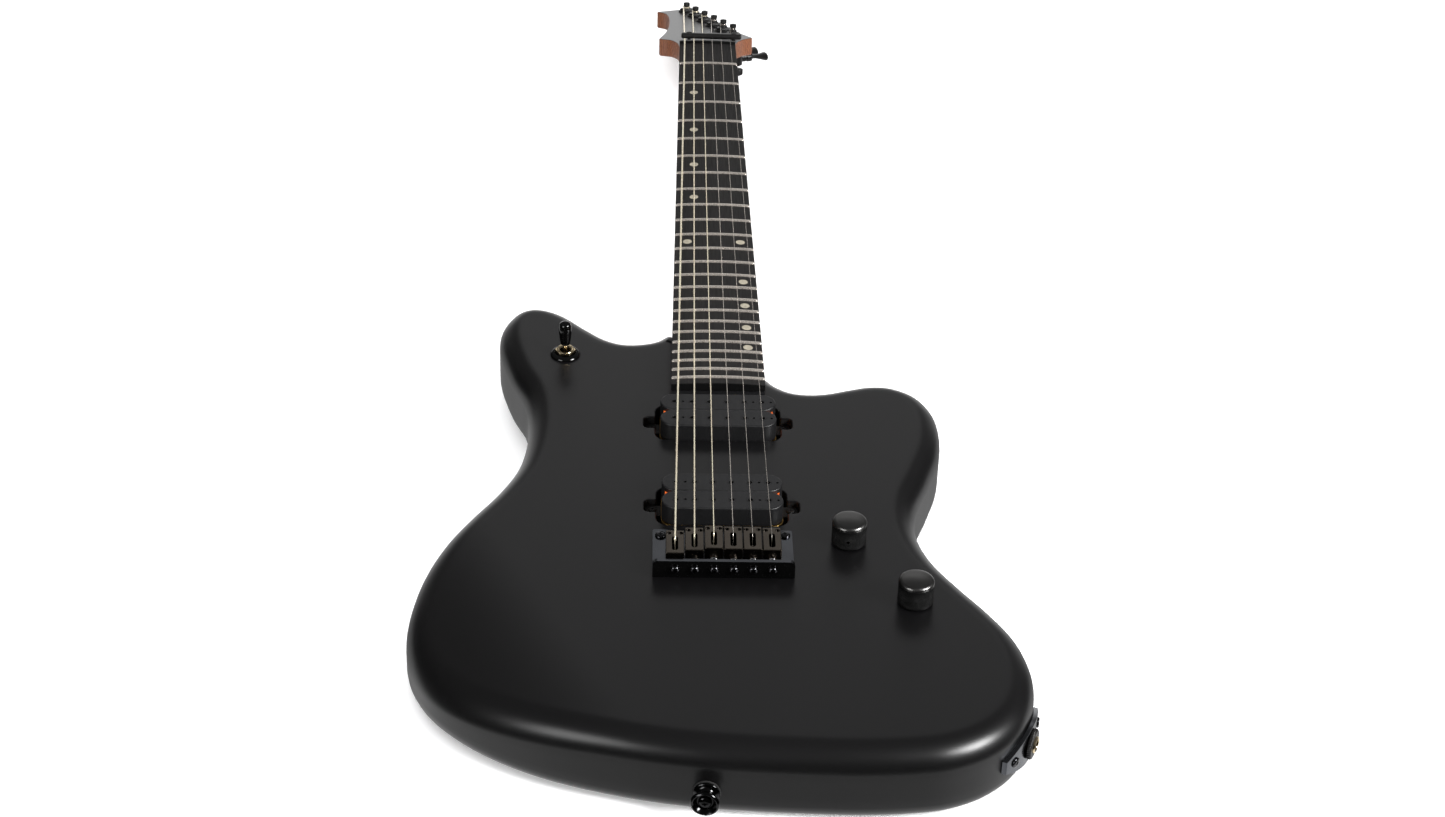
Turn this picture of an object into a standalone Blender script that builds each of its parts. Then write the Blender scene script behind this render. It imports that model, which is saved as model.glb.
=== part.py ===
"""Solid-body electric guitar, built in Blender as separate named pieces.

Frame: X runs across the body (bass side -X, treble side +X), Y runs from the
tail to the headstock, Z points out of the front. The origin lies on the flat
back of the body, on the centreline, under the bridge end of the scale length.
Lengths below are millimetres times MM, so every coordinate is in metres.
"""

import math

import bmesh
import bpy
from mathutils import Matrix, Vector
from mathutils.geometry import delaunay_2d_cdt

MM = 0.001
GAP = 0.3 * MM

# Levels above the back of the body
BODY_THICKNESS = 45.0 * MM
FRET_TOP = 56.5 * MM
FRET_HEIGHT = 1.1 * MM
BOARD_THICKNESS = 6.0 * MM
BOARD_TOP = FRET_TOP - FRET_HEIGHT
BOARD_BOTTOM = BOARD_TOP - BOARD_THICKNESS
POCKET_FLOOR = 29.0 * MM

# Body
TOP_ROUND = 14.0 * MM
BACK_ROUND = 10.0 * MM
OUTLINE_SAMPLES = 96
FOREARM_RADIUS = 230.0 * MM
FOREARM_START = Vector((-46.0, -165.0)) * MM
FOREARM_OUTWARD = Vector((-0.906, -0.424))
BELLY_CENTRE = Vector((-152.0, 78.0)) * MM
BELLY_REACH = Vector((88.0, 112.0)) * MM
BELLY_DEPTH = 15.0 * MM
CONTOUR_GRID = 24.0 * MM

# Scale and neck
SCALE_LENGTH = 648.0 * MM
FRET_COUNT = 24
FRET_WIDTH = 2.4 * MM
BOARD_RADIUS = 350.0 * MM
NUT_HALF_WIDTH = 21.4 * MM
LAST_FRET_HALF_WIDTH = 28.8 * MM
BOARD_END = 155.0 * MM
NUT_LENGTH = 5.0 * MM
NECK_DEPTH_NUT = 14.0 * MM
NECK_DEPTH_BODY = 16.5 * MM

# Headstock, measured along its own tilted face from just behind the nut
HEAD_ANGLE = math.radians(15.0)
HEAD_THICKNESS = 13.5 * MM
HEAD_ORIGIN = Vector((0.0, 653.0, 49.9)) * MM

# Retainer bar across the strings, middle on the headstock face
RETAINER_AT = Vector((3.3, 11.5)) * MM
RETAINER_SCREW = 17.3 * MM

# Tuners
STRING_COUNT = 6
TUNER_STEP = Vector((-7.02, 23.48)) * MM
TUNER_FIRST = Vector((21.2, 52.0)) * MM
TUNER_TURN = math.atan2(-TUNER_STEP.x, TUNER_STEP.y)
POST_TOP_NEAR = 9.6 * MM
POST_TOP_FAR = 7.8 * MM
POST_RADIUS = 3.1 * MM
POST_NECK_RADIUS = 1.9 * MM
POST_CAP = 3.2 * MM
WRAP_DROP = 3.9 * MM
GEAR_RADIUS = 4.2 * MM
WORM_RADIUS = 1.8 * MM
WORM_OFFSET = 6.4 * MM
WORM_DEPTH = 4.6 * MM
HOUSING_RADIUS = 8.0 * MM
HOUSING_DEPTH = 9.5 * MM
ARM_RADIUS = 3.7 * MM
ARM_REACH = 17.4 * MM
BUTTON_REACH = 29.8 * MM

# Strings, from bass to treble
STRING_RADII = [0.585 * MM, 0.455 * MM, 0.33 * MM, 0.216 * MM, 0.165 * MM, 0.127 * MM]
BRIDGE_PITCH = 10.8 * MM
NUT_PITCH = 7.0 * MM
SADDLE_ACTION = 3.2 * MM
NUT_ACTION = 0.5 * MM
BREAK_SETBACK = 1.9 * MM
STRING_HOLE_Y = -15.5 * MM
STRING_HOLE_RADIUS = 1.7 * MM

# Bridge
PLATE_HALF_WIDTH = 39.4 * MM
PLATE_FRONT = 11.4 * MM
PLATE_BACK = -31.5 * MM
PLATE_BOTTOM = BODY_THICKNESS + GAP
PLATE_THICKNESS = 2.0 * MM
WALL_HEIGHT = 10.8 * MM
WALL_THICKNESS = 2.4 * MM
SADDLE_WIDTH = 10.3 * MM
SADDLE_LENGTH = 21.6 * MM
SADDLE_LIFT = 0.8 * MM
SADDLE_FRONTS = [-5.2 * MM, -3.2 * MM, -1.6 * MM, -2.2 * MM, -1.9 * MM, -1.6 * MM]
SLOT_SETBACK = 5.6 * MM
SLOT_LENGTH = 13.4 * MM
SLOT_WIDTH = 3.5 * MM
SCREW_LEVEL = 51.0 * MM
SCREW_RADIUS = 1.4 * MM

# Pickups: middle of each, and top of the bobbins
BRIDGE_PICKUP_AT = Vector((0.3, 38.0)) * MM
BRIDGE_PICKUP_TOP = 55.9 * MM
NECK_PICKUP_AT = Vector((-0.5, 126.3)) * MM
NECK_PICKUP_TOP = 54.6 * MM
BOBBIN_LENGTH = 69.6 * MM
BOBBIN_WIDTH = 17.6 * MM
BOBBIN_HEIGHT = 12.0 * MM
ROUT_MARGIN = 1.2 * MM
ROUT_END_MARGIN = 2.8 * MM
ROUT_CORNER = 7.0 * MM
ROUT_FLOOR = 25.0 * MM
EAR_REACH = 44.4 * MM
EAR_WIDTH = 11.2 * MM

# Controls
VOLUME_AT = Vector((71.3, 4.3)) * MM
TONE_AT = Vector((104.5, -51.2)) * MM
KNOB_RADIUS = 9.9 * MM
KNOB_HEIGHT = 15.8 * MM
KNOB_CLEARANCE = 0.6 * MM
CAVITY_END = Vector((122.0, -105.0)) * MM
CAVITY_RADIUS = 21.0 * MM
CAVITY_TOP = 38.5 * MM
COVER_THICKNESS = 2.0 * MM
COVER_LIP = 4.5 * MM
SWITCH_AT = Vector((-94.8, 203.5)) * MM
SWITCH_CAVITY_RADIUS = 20.0 * MM
LEVER_PIVOT = 46.0 * MM
LEVER_TIP = 68.8 * MM
LEVER_FOOT = 52.9 * MM
JACK_INDEX_AT = Vector((157.2, -140.4)) * MM
JACK_LEVEL = 20.5 * MM
JACK_HALF_LENGTH = 25.0 * MM
JACK_BORE = 3.25 * MM
JACK_PLATE_THICKNESS = 2.5 * MM

# Strap buttons, each on the side of the body a little below half thickness
STRAP_LEVEL = 16.8 * MM
STRAP_TAIL_AT = Vector((-10.5, -177.3)) * MM
STRAP_HORN_AT = Vector((-121.0, 266.9)) * MM

# Body outline through these points, anticlockwise seen from the front
BODY_OUTLINE = [
    (-33.0, 236.0), (-41.0, 228.7), (-56.1, 225.6), (-66.8, 230.0), (-80.0, 242.6),
    (-95.1, 258.9), (-107.0, 266.4), (-118.5, 267.9), (-128.4, 262.8), (-136.4, 246.5),
    (-137.2, 227.0), (-128.6, 189.5), (-118.3, 161.0), (-114.8, 128.3), (-119.0, 88.1),
    (-129.9, 59.0), (-144.0, 33.2), (-157.1, 8.5), (-166.1, -14.7), (-171.1, -36.0),
    (-173.2, -58.0), (-170.8, -80.0), (-163.9, -98.4), (-151.5, -116.4), (-129.8, -136.0),
    (-97.0, -154.9), (-55.5, -169.0), (-18.6, -176.5), (14.1, -179.7), (45.9, -181.4),
    (68.8, -181.8), (92.4, -180.5), (114.4, -176.7), (135.4, -166.5), (151.5, -150.3),
    (160.2, -132.5), (163.7, -112.7), (162.8, -94.6), (157.9, -75.0), (147.2, -53.4),
    (133.5, -31.0), (120.0, -6.2), (112.6, 20.0), (113.2, 46.0), (124.0, 79.0),
    (132.0, 106.0), (134.6, 131.0), (132.5, 151.1), (123.9, 167.9), (108.4, 178.0),
    (93.4, 179.0), (79.6, 175.1), (65.8, 170.3), (54.9, 169.2), (45.8, 171.5),
    (38.0, 178.0), (30.0, 189.0), (0.0, 213.0), (-26.0, 236.0),
]

# Headstock outline on its own face: (across, along) from the nut
HEAD_BASS_SIDE = [
    (-21.6, 0.0), (-22.2, 10.0), (-24.6, 20.0), (-29.0, 28.5), (-35.5, 31.2), (-37.2, 33.0),
    (-35.9, 41.0), (-33.1, 56.0), (-30.7, 75.0), (-28.8, 100.0), (-28.6, 128.0),
    (-29.6, 146.0), (-32.2, 158.5), (-37.6, 164.6), (-38.9, 167.0),
]
HEAD_TREBLE_SIDE = [
    (-20.0, 180.5), (-10.0, 187.2), (-7.2, 186.4), (-3.4, 170.0), (2.6, 150.0),
    (11.6, 120.0), (20.6, 90.0), (27.0, 68.5), (31.5, 57.5), (36.6, 46.4), (36.2, 44.0),
    (28.8, 35.6), (24.2, 24.0), (22.2, 12.0), (21.6, 0.0),
]


# ----------------------------------------------------------------- helpers

def clear_scene():
    for old in list(bpy.data.objects):
        bpy.data.objects.remove(old, do_unlink=True)


def new_collection(name):
    collection = bpy.data.collections.new(name)
    bpy.context.scene.collection.children.link(collection)
    return collection


clear_scene()
PARTS = new_collection("electric_guitar")
CUTTERS = new_collection("cutters")


def make_material(name, colour, roughness, metallic=0.0):
    material = bpy.data.materials.new(name)
    material.use_nodes = True
    shader = material.node_tree.nodes["Principled BSDF"]
    shader.inputs["Base Color"].default_value = (*colour, 1.0)
    shader.inputs["Roughness"].default_value = roughness
    shader.inputs["Metallic"].default_value = metallic
    return material


def link_mesh(name, mesh, matrix=None):
    obj = bpy.data.objects.new(name, mesh)
    CUTTERS.objects.link(obj)
    obj.hide_render = True
    obj.display_type = "WIRE"
    if matrix is not None:
        obj.matrix_world = matrix
    return obj


def finish_part(obj, name, colour, roughness, metallic=0.0, smooth=40.0):
    """Turn a finished shape into a named node with its own material."""
    obj.name = name
    CUTTERS.objects.unlink(obj)
    PARTS.objects.link(obj)
    obj.hide_render = False
    obj.display_type = "TEXTURED"
    obj.data.materials.clear()
    obj.data.materials.append(make_material(name + "_finish", colour, roughness, metallic))
    obj.data.shade_smooth()
    obj.data.set_sharp_from_angle(angle=math.radians(smooth))
    return obj


def bake(obj):
    """Replace an object's mesh by its evaluated shape, so that it can be cut or shared."""
    bpy.context.view_layer.update()
    depsgraph = bpy.context.evaluated_depsgraph_get()
    mesh = bpy.data.meshes.new_from_object(obj.evaluated_get(depsgraph))
    placed = obj.matrix_world.copy()
    name = obj.name
    bpy.data.objects.remove(obj, do_unlink=True)
    build = bmesh.new()
    build.from_mesh(mesh)
    bmesh.ops.remove_doubles(build, verts=build.verts, dist=0.00001)
    build.to_mesh(mesh)
    build.free()
    return link_mesh(name, mesh, placed)


def combine(target, other, operation):
    modifier = target.modifiers.new(operation.lower(), "BOOLEAN")
    modifier.operation = operation
    modifier.solver = "EXACT"
    modifier.object = other


def cut(target, *cutters):
    for cutter in cutters:
        combine(target, cutter, "DIFFERENCE")
    return target


def join(target, *others):
    for other in others:
        combine(target, other, "UNION")
    return target


def slab(name, outline, low, high, matrix=None):
    """A flat outline between two levels, from a filled 2D curve."""
    curve = bpy.data.curves.new(name, "CURVE")
    curve.dimensions = "2D"
    curve.fill_mode = "BOTH"
    curve.extrude = (high - low) / 2.0
    spline = curve.splines.new("POLY")
    spline.points.add(len(outline) - 1)
    for point, (x, y) in zip(spline.points, outline):
        point.co = (x, y, 0.0, 1.0)
    spline.use_cyclic_u = True
    obj = link_mesh(name, curve)
    obj.matrix_world = Matrix.Translation((0.0, 0.0, (low + high) / 2.0))
    obj = bake(obj)
    obj.data.transform(obj.matrix_world)
    obj.matrix_world = matrix if matrix is not None else Matrix.Identity(4)
    return obj


def box(name, low, high, matrix=None):
    build = bmesh.new()
    bmesh.ops.create_cube(build, size=1.0)
    size = Vector(high) - Vector(low)
    middle = (Vector(high) + Vector(low)) / 2.0
    bmesh.ops.transform(build, verts=build.verts,
                        matrix=Matrix.Translation(middle) @ Matrix.Diagonal((*size, 1.0)))
    mesh = bpy.data.meshes.new(name)
    build.to_mesh(mesh)
    build.free()
    return link_mesh(name, mesh, matrix)


def turned(name, profile, steps=12, closed=False, matrix=None):
    """A turned shape about Z. The profile is (radius, height), outer side top to bottom."""
    mesh = bpy.data.meshes.new(name)
    count = len(profile)
    edges = [(i, i + 1) for i in range(count - 1)]
    if closed:
        edges.append((count - 1, 0))
    mesh.from_pydata([(radius, 0.0, height) for radius, height in profile], edges, [])
    obj = link_mesh(name, mesh)
    screw = obj.modifiers.new("screw", "SCREW")
    screw.axis = "Z"
    screw.steps = steps
    screw.render_steps = steps
    screw.use_merge_vertices = True
    screw.merge_threshold = 0.00001
    obj = bake(obj)
    if matrix is not None:
        obj.matrix_world = matrix
    return obj


def rod(name, start, end, radius, steps=12):
    """A plain round bar between two points."""
    start = Vector(start)
    end = Vector(end)
    along = end - start
    turn = along.to_track_quat("Z", "Y").to_matrix().to_4x4()
    profile = [(0.0, along.length), (radius, along.length), (radius, 0.0), (0.0, 0.0)]
    return turned(name, profile, steps, matrix=Matrix.Translation(start) @ turn)


def smooth_loop(points, samples):
    """A closed centripetal curve through the points, sampled evenly along its length."""
    count = len(points)
    dense = []
    for i in range(count):
        p0, p1, p2, p3 = (Vector(points[(i + k - 1) % count]) for k in range(4))
        t0 = 0.0
        t1 = t0 + (p1 - p0).length ** 0.5
        t2 = t1 + (p2 - p1).length ** 0.5
        t3 = t2 + (p3 - p2).length ** 0.5
        for step in range(12):
            t = t1 + (t2 - t1) * step / 12.0
            a1 = p0 * ((t1 - t) / (t1 - t0)) + p1 * ((t - t0) / (t1 - t0))
            a2 = p1 * ((t2 - t) / (t2 - t1)) + p2 * ((t - t1) / (t2 - t1))
            a3 = p2 * ((t3 - t) / (t3 - t2)) + p3 * ((t - t2) / (t3 - t2))
            b1 = a1 * ((t2 - t) / (t2 - t0)) + a2 * ((t - t0) / (t2 - t0))
            b2 = a2 * ((t3 - t) / (t3 - t1)) + a3 * ((t - t1) / (t3 - t1))
            dense.append(b1 * ((t2 - t) / (t2 - t1)) + b2 * ((t - t1) / (t2 - t1)))
    lengths = [0.0]
    for i in range(len(dense)):
        lengths.append(lengths[-1] + (dense[(i + 1) % len(dense)] - dense[i]).length)
    result = []
    index = 0
    for k in range(samples):
        wanted = lengths[-1] * k / samples
        while lengths[index + 1] < wanted:
            index += 1
        part = (wanted - lengths[index]) / (lengths[index + 1] - lengths[index])
        result.append(dense[index].lerp(dense[(index + 1) % len(dense)], part))
    return result


def outward_normals(loop):
    """Unit normals of an anticlockwise loop, pointing away from its inside."""
    count = len(loop)
    normals = []
    for i in range(count):
        tangent = (loop[(i + 1) % count] - loop[i - 1]).normalized()
        normals.append(Vector((tangent.y, -tangent.x)))
    return normals


def arc(centre, radius, start, end, steps):
    """Points on an arc, angles in degrees."""
    points = []
    for k in range(steps + 1):
        angle = math.radians(start + (end - start) * k / steps)
        points.append((centre[0] + radius * math.cos(angle), centre[1] + radius * math.sin(angle)))
    return points


def stadium(start, end, radius, steps=8):
    """A long round-ended outline around the line from start to end."""
    heading = math.degrees(math.atan2(end[1] - start[1], end[0] - start[0]))
    first = arc(end, radius, heading - 90.0, heading + 90.0, steps)
    second = arc(start, radius, heading + 90.0, heading + 270.0, steps)
    return first + second


def round_box(x0, y0, x1, y1, radius, steps=3):
    outline = []
    outline += arc((x1 - radius, y1 - radius), radius, 0.0, 90.0, steps)
    outline += arc((x0 + radius, y1 - radius), radius, 90.0, 180.0, steps)
    outline += arc((x0 + radius, y0 + radius), radius, 180.0, 270.0, steps)
    outline += arc((x1 - radius, y0 + radius), radius, 270.0, 360.0, steps)
    return outline


# --------------------------------------------------------------- geometry

def board_half_width(y):
    """Half width of the fretboard, straight from the nut to the last fret."""
    last_fret = SCALE_LENGTH * 2.0 ** (-FRET_COUNT / 12.0)
    share = (SCALE_LENGTH - y) / (SCALE_LENGTH - last_fret)
    return NUT_HALF_WIDTH + (LAST_FRET_HALF_WIDTH - NUT_HALF_WIDTH) * share


def crown_drop(x):
    """How far the domed fretboard falls at x from the centreline."""
    return x * x / (2.0 * BOARD_RADIUS)


def forearm_cut(x, y):
    depth = (Vector((x, y)) - FOREARM_START).dot(FOREARM_OUTWARD)
    if depth <= 0.0:
        return 0.0
    return depth * depth / (2.0 * FOREARM_RADIUS)


def belly_cut(x, y):
    across = (x - BELLY_CENTRE.x) / BELLY_REACH.x
    along = (y - BELLY_CENTRE.y) / BELLY_REACH.y
    reach = across * across + along * along
    if reach >= 1.0:
        return 0.0
    return BELLY_DEPTH * (1.0 - reach) ** 2


def body_level(x, y, z):
    """Move a level of the plain slab to where the two comfort contours put it."""
    side_low = BACK_ROUND
    side_high = BODY_THICKNESS - TOP_ROUND
    share = min(max((z - side_low) / (side_high - side_low), 0.0), 1.0)
    return z - forearm_cut(x, y) * share + belly_cut(x, y) * (1.0 - share)


def saddle_x(index):
    return (index - 2.5) * BRIDGE_PITCH


def nut_x(index):
    return (index - 2.5) * NUT_PITCH


def string_at_saddle(index):
    """Level of the underside of a string where it crosses its saddle."""
    return FRET_TOP + SADDLE_ACTION - crown_drop(saddle_x(index))


def string_at_nut(index):
    return FRET_TOP + NUT_ACTION - crown_drop(nut_x(index))


def tuner_at(index):
    """Post centre on the headstock face. The lowest string goes to the farthest post."""
    return TUNER_FIRST + TUNER_STEP * (STRING_COUNT - 1 - index)


def post_top(index):
    share = (STRING_COUNT - 1 - index) / (STRING_COUNT - 1)
    return POST_TOP_NEAR + (POST_TOP_FAR - POST_TOP_NEAR) * share


# Headstock frame: Y along the tilted face, Z out of it
HEAD_MATRIX = Matrix.Translation(HEAD_ORIGIN) @ Matrix.Rotation(-HEAD_ANGLE, 4, "X")


def tuner_matrix(index):
    """Tuner frame: Z along the post, X towards the button."""
    at = tuner_at(index)
    turn = Matrix.Rotation(TUNER_TURN, 4, "Z")
    return HEAD_MATRIX @ Matrix.Translation((at.x, at.y, 0.0)) @ turn


def side_matrix(at, level):
    """Frame on the side of the body: Z straight out, Y up, X along the side."""
    nearest = min(range(len(BODY_LOOP)), key=lambda i: (BODY_LOOP[i] - at).length)
    normal = BODY_NORMALS[nearest]
    out = Vector((normal.x, normal.y, 0.0))
    up = Vector((0.0, 0.0, 1.0))
    along = up.cross(out)
    turn = Matrix((along, up, out)).transposed().to_4x4()
    offset = (BODY_LOOP[nearest] - at).dot(normal)
    place = Vector((at.x + normal.x * offset, at.y + normal.y * offset, level))
    return Matrix.Translation(place) @ turn


BODY_LOOP = smooth_loop([Vector(point) * MM for point in BODY_OUTLINE], OUTLINE_SAMPLES)
BODY_NORMALS = outward_normals(BODY_LOOP)


# ------------------------------------------------------------------- body

def inside_by(point, loop, margin):
    """True where the point lies inside the loop and at least margin from its corners."""
    inside = False
    count = len(loop)
    for i in range(count):
        a = loop[i]
        b = loop[(i + 1) % count]
        if (a - point).length < margin:
            return False
        if (a.y > point.y) != (b.y > point.y):
            crossing = a.x + (point.y - a.y) * (b.x - a.x) / (b.y - a.y)
            if point.x < crossing:
                inside = not inside
    return inside


def contour_points(loop, depth_at):
    """Grid points that carry a contour across a flat face of the body."""
    xs = [p.x for p in loop]
    ys = [p.y for p in loop]
    points = []
    columns = int((max(xs) - min(xs)) / CONTOUR_GRID)
    rows = int((max(ys) - min(ys)) / CONTOUR_GRID)
    for i in range(1, columns + 1):
        for j in range(1, rows + 1):
            point = Vector((min(xs) + i * CONTOUR_GRID, min(ys) + j * CONTOUR_GRID))
            near = any(depth_at(point.x + dx, point.y + dy) > 0.0
                       for dx in (-CONTOUR_GRID, 0.0, CONTOUR_GRID)
                       for dy in (-CONTOUR_GRID, 0.0, CONTOUR_GRID))
            if near and inside_by(point, loop, 0.6 * CONTOUR_GRID):
                points.append(point)
    return points


def body_blank():
    """The contoured slab: rings up the rounded side, closed by two filled faces."""
    rings = []
    for degrees in (0.0, 45.0, 90.0):
        angle = math.radians(degrees)
        rings.append((BACK_ROUND * (1.0 - math.sin(angle)), BACK_ROUND * (1.0 - math.cos(angle))))
    for degrees in (90.0, 60.0, 30.0, 0.0):
        angle = math.radians(degrees)
        rings.append((TOP_ROUND * (1.0 - math.sin(angle)),
                      BODY_THICKNESS - TOP_ROUND * (1.0 - math.cos(angle))))
    build = bmesh.new()
    count = len(BODY_LOOP)
    built = []
    for inset, z in rings:
        ring = []
        for point, normal in zip(BODY_LOOP, BODY_NORMALS):
            at = point - normal * inset
            ring.append(build.verts.new((at.x, at.y, body_level(at.x, at.y, z))))
        built.append(ring)
    for low, high in zip(built, built[1:]):
        for i in range(count):
            j = (i + 1) % count
            build.faces.new((low[i], low[j], high[j], high[i]))
    for ring, depth_at, z, upward in ((built[0], belly_cut, 0.0, False),
                                      (built[-1], forearm_cut, BODY_THICKNESS, True)):
        loop = [Vector((v.co.x, v.co.y)) for v in ring]
        extra = contour_points(loop, depth_at)
        edges = [(i, (i + 1) % count) for i in range(count)]
        points, _, faces, origins, _, _ = delaunay_2d_cdt(loop + extra, edges, [], 1, 0.000001)
        verts = []
        for point, sources in zip(points, origins):
            if sources and sources[0] < count:
                verts.append(ring[sources[0]])
            else:
                verts.append(build.verts.new((point.x, point.y, body_level(point.x, point.y, z))))
        for face in faces:
            order = face if upward else list(reversed(face))
            build.faces.new([verts[i] for i in order])
    bmesh.ops.dissolve_limit(build, angle_limit=math.radians(0.05), use_dissolve_boundaries=False,
                             verts=build.verts, edges=build.edges)
    bmesh.ops.recalc_face_normals(build, faces=build.faces)
    mesh = bpy.data.meshes.new("body")
    build.to_mesh(mesh)
    build.free()
    return link_mesh("body", mesh)


def centred_box(at, half, depth, radius):
    """Round-cornered outline around a middle point."""
    return round_box(at.x - half, at.y - depth, at.x + half, at.y + depth, radius)


def pickup_rout(name, at):
    """A close rout round the bobbins with a shallower pocket for the two ears."""
    half = BOBBIN_LENGTH / 2.0 + ROUT_END_MARGIN
    depth = BOBBIN_WIDTH + ROUT_MARGIN
    main = slab(name, centred_box(at, half, depth, ROUT_CORNER), ROUT_FLOOR,
                BODY_THICKNESS + 3.0 * MM)
    ears = slab(name + "_ears", centred_box(at, EAR_REACH + GAP, EAR_WIDTH / 2.0 + GAP, 3.0 * MM),
                ROUT_FLOOR + 3.0 * MM, BODY_THICKNESS + 4.0 * MM)
    return main, ears


def recess(name, outline_inner, outline_outer, top):
    """A cavity opened from the back, with a step that its cover lies in."""
    cavity = slab(name, outline_inner, COVER_THICKNESS - 1.0 * MM, top)
    step = slab(name + "_step", outline_outer, -2.0 * MM, COVER_THICKNESS + GAP)
    return cavity, step


def neck_plate_outline(margin):
    """A plate cut slanting, as the end of the body under the neck is."""
    return [(-22.0 * MM - margin, 158.0 * MM - margin), (22.0 * MM + margin, 158.0 * MM - margin),
            (22.0 * MM + margin, 182.0 * MM + margin),
            (-22.0 * MM - margin, 217.0 * MM + 2.0 * margin)]


NECK_BOLTS = [(-16.0 * MM, 164.0 * MM), (16.0 * MM, 164.0 * MM),
              (16.0 * MM, 178.0 * MM), (-16.0 * MM, 204.0 * MM)]
NECK_BOLT_RADIUS = 2.2 * MM
NECK_BOLT_TOP = 41.0 * MM


def make_body():
    body = body_blank()
    far = 320.0 * MM
    near = BOARD_END - GAP
    pocket = slab("pocket", [(-board_half_width(near) - GAP, near),
                             (board_half_width(near) + GAP, near),
                             (board_half_width(far) + GAP, far),
                             (-board_half_width(far) - GAP, far)],
                  POCKET_FLOOR, FRET_TOP)
    cutters = [pocket]
    cutters += pickup_rout("bridge_rout", BRIDGE_PICKUP_AT)
    cutters += pickup_rout("neck_rout", NECK_PICKUP_AT)
    cutters += recess("control_cavity", stadium(VOLUME_AT, CAVITY_END, CAVITY_RADIUS),
                      stadium(VOLUME_AT, CAVITY_END, CAVITY_RADIUS + COVER_LIP + GAP), CAVITY_TOP)
    cutters += recess("switch_cavity", arc(SWITCH_AT, SWITCH_CAVITY_RADIUS, 0.0, 345.0, 23),
                      arc(SWITCH_AT, SWITCH_CAVITY_RADIUS + COVER_LIP + GAP, 0.0, 345.0, 23),
                      CAVITY_TOP)
    cutters.append(slab("plate_recess", neck_plate_outline(GAP), -2.0 * MM,
                        COVER_THICKNESS + GAP))
    holes = []
    for x, y in NECK_BOLTS:
        holes.append(((x, y, -1.0 * MM), (x, y, POCKET_FLOOR + 1.0 * MM), 2.6 * MM))
    for at in (VOLUME_AT, TONE_AT):
        holes.append(((at.x, at.y, CAVITY_TOP - MM), (at.x, at.y, BODY_THICKNESS + MM), 5.3 * MM))
    holes.append(((SWITCH_AT.x, SWITCH_AT.y, CAVITY_TOP - MM),
                  (SWITCH_AT.x, SWITCH_AT.y, BODY_THICKNESS + MM), 6.6 * MM))
    for index in range(STRING_COUNT):
        x = saddle_x(index)
        holes.append(((x, STRING_HOLE_Y, -MM), (x, STRING_HOLE_Y, BODY_THICKNESS + MM),
                      STRING_HOLE_RADIUS))
    jack = side_matrix(JACK_INDEX_AT, JACK_LEVEL)
    holes.append((jack @ Vector((0.0, 0.0, 3.0 * MM)), jack @ Vector((0.0, 0.0, -38.0 * MM)),
                  9.5 * MM))
    for at in (STRAP_TAIL_AT, STRAP_HORN_AT):
        frame = side_matrix(at, STRAP_LEVEL)
        holes.append((frame @ Vector((0.0, 0.0, 2.0 * MM)),
                      frame @ Vector((0.0, 0.0, -26.0 * MM)), 2.1 * MM))
    for number, (start, end, radius) in enumerate(holes):
        steps = 20 if radius > 9.0 * MM else 10
        cutters.append(rod("body_hole_%d" % number, start, end, radius, steps))
    cut(body, *cutters)
    return finish_part(body, "body", (0.012, 0.012, 0.013), 0.55)


# ------------------------------------------------------------------- neck

def neck_section(y, half, top, depth, fullness):
    """Half-round neck section at y: a flat top, and a back from round to nearly square."""
    steps = 12
    ring = []
    for k in range(steps + 1):
        angle = math.pi * k / steps
        across = math.copysign(abs(math.cos(angle)) ** (2.0 / fullness), math.cos(angle))
        down = abs(math.sin(angle)) ** (2.0 / fullness)
        ring.append((half * across, y, top - depth * down))
    return ring


def loft(name, rings):
    """Close a row of equal rings into one solid."""
    build = bmesh.new()
    built = [[build.verts.new(point) for point in ring] for ring in rings]
    count = len(built[0])
    for low, high in zip(built, built[1:]):
        for i in range(count):
            j = (i + 1) % count
            build.faces.new((low[i], low[j], high[j], high[i]))
    build.faces.new(list(reversed(built[0])))
    build.faces.new(built[-1])
    bmesh.ops.recalc_face_normals(build, faces=build.faces)
    mesh = bpy.data.meshes.new(name)
    build.to_mesh(mesh)
    build.free()
    return link_mesh(name, mesh)


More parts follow.
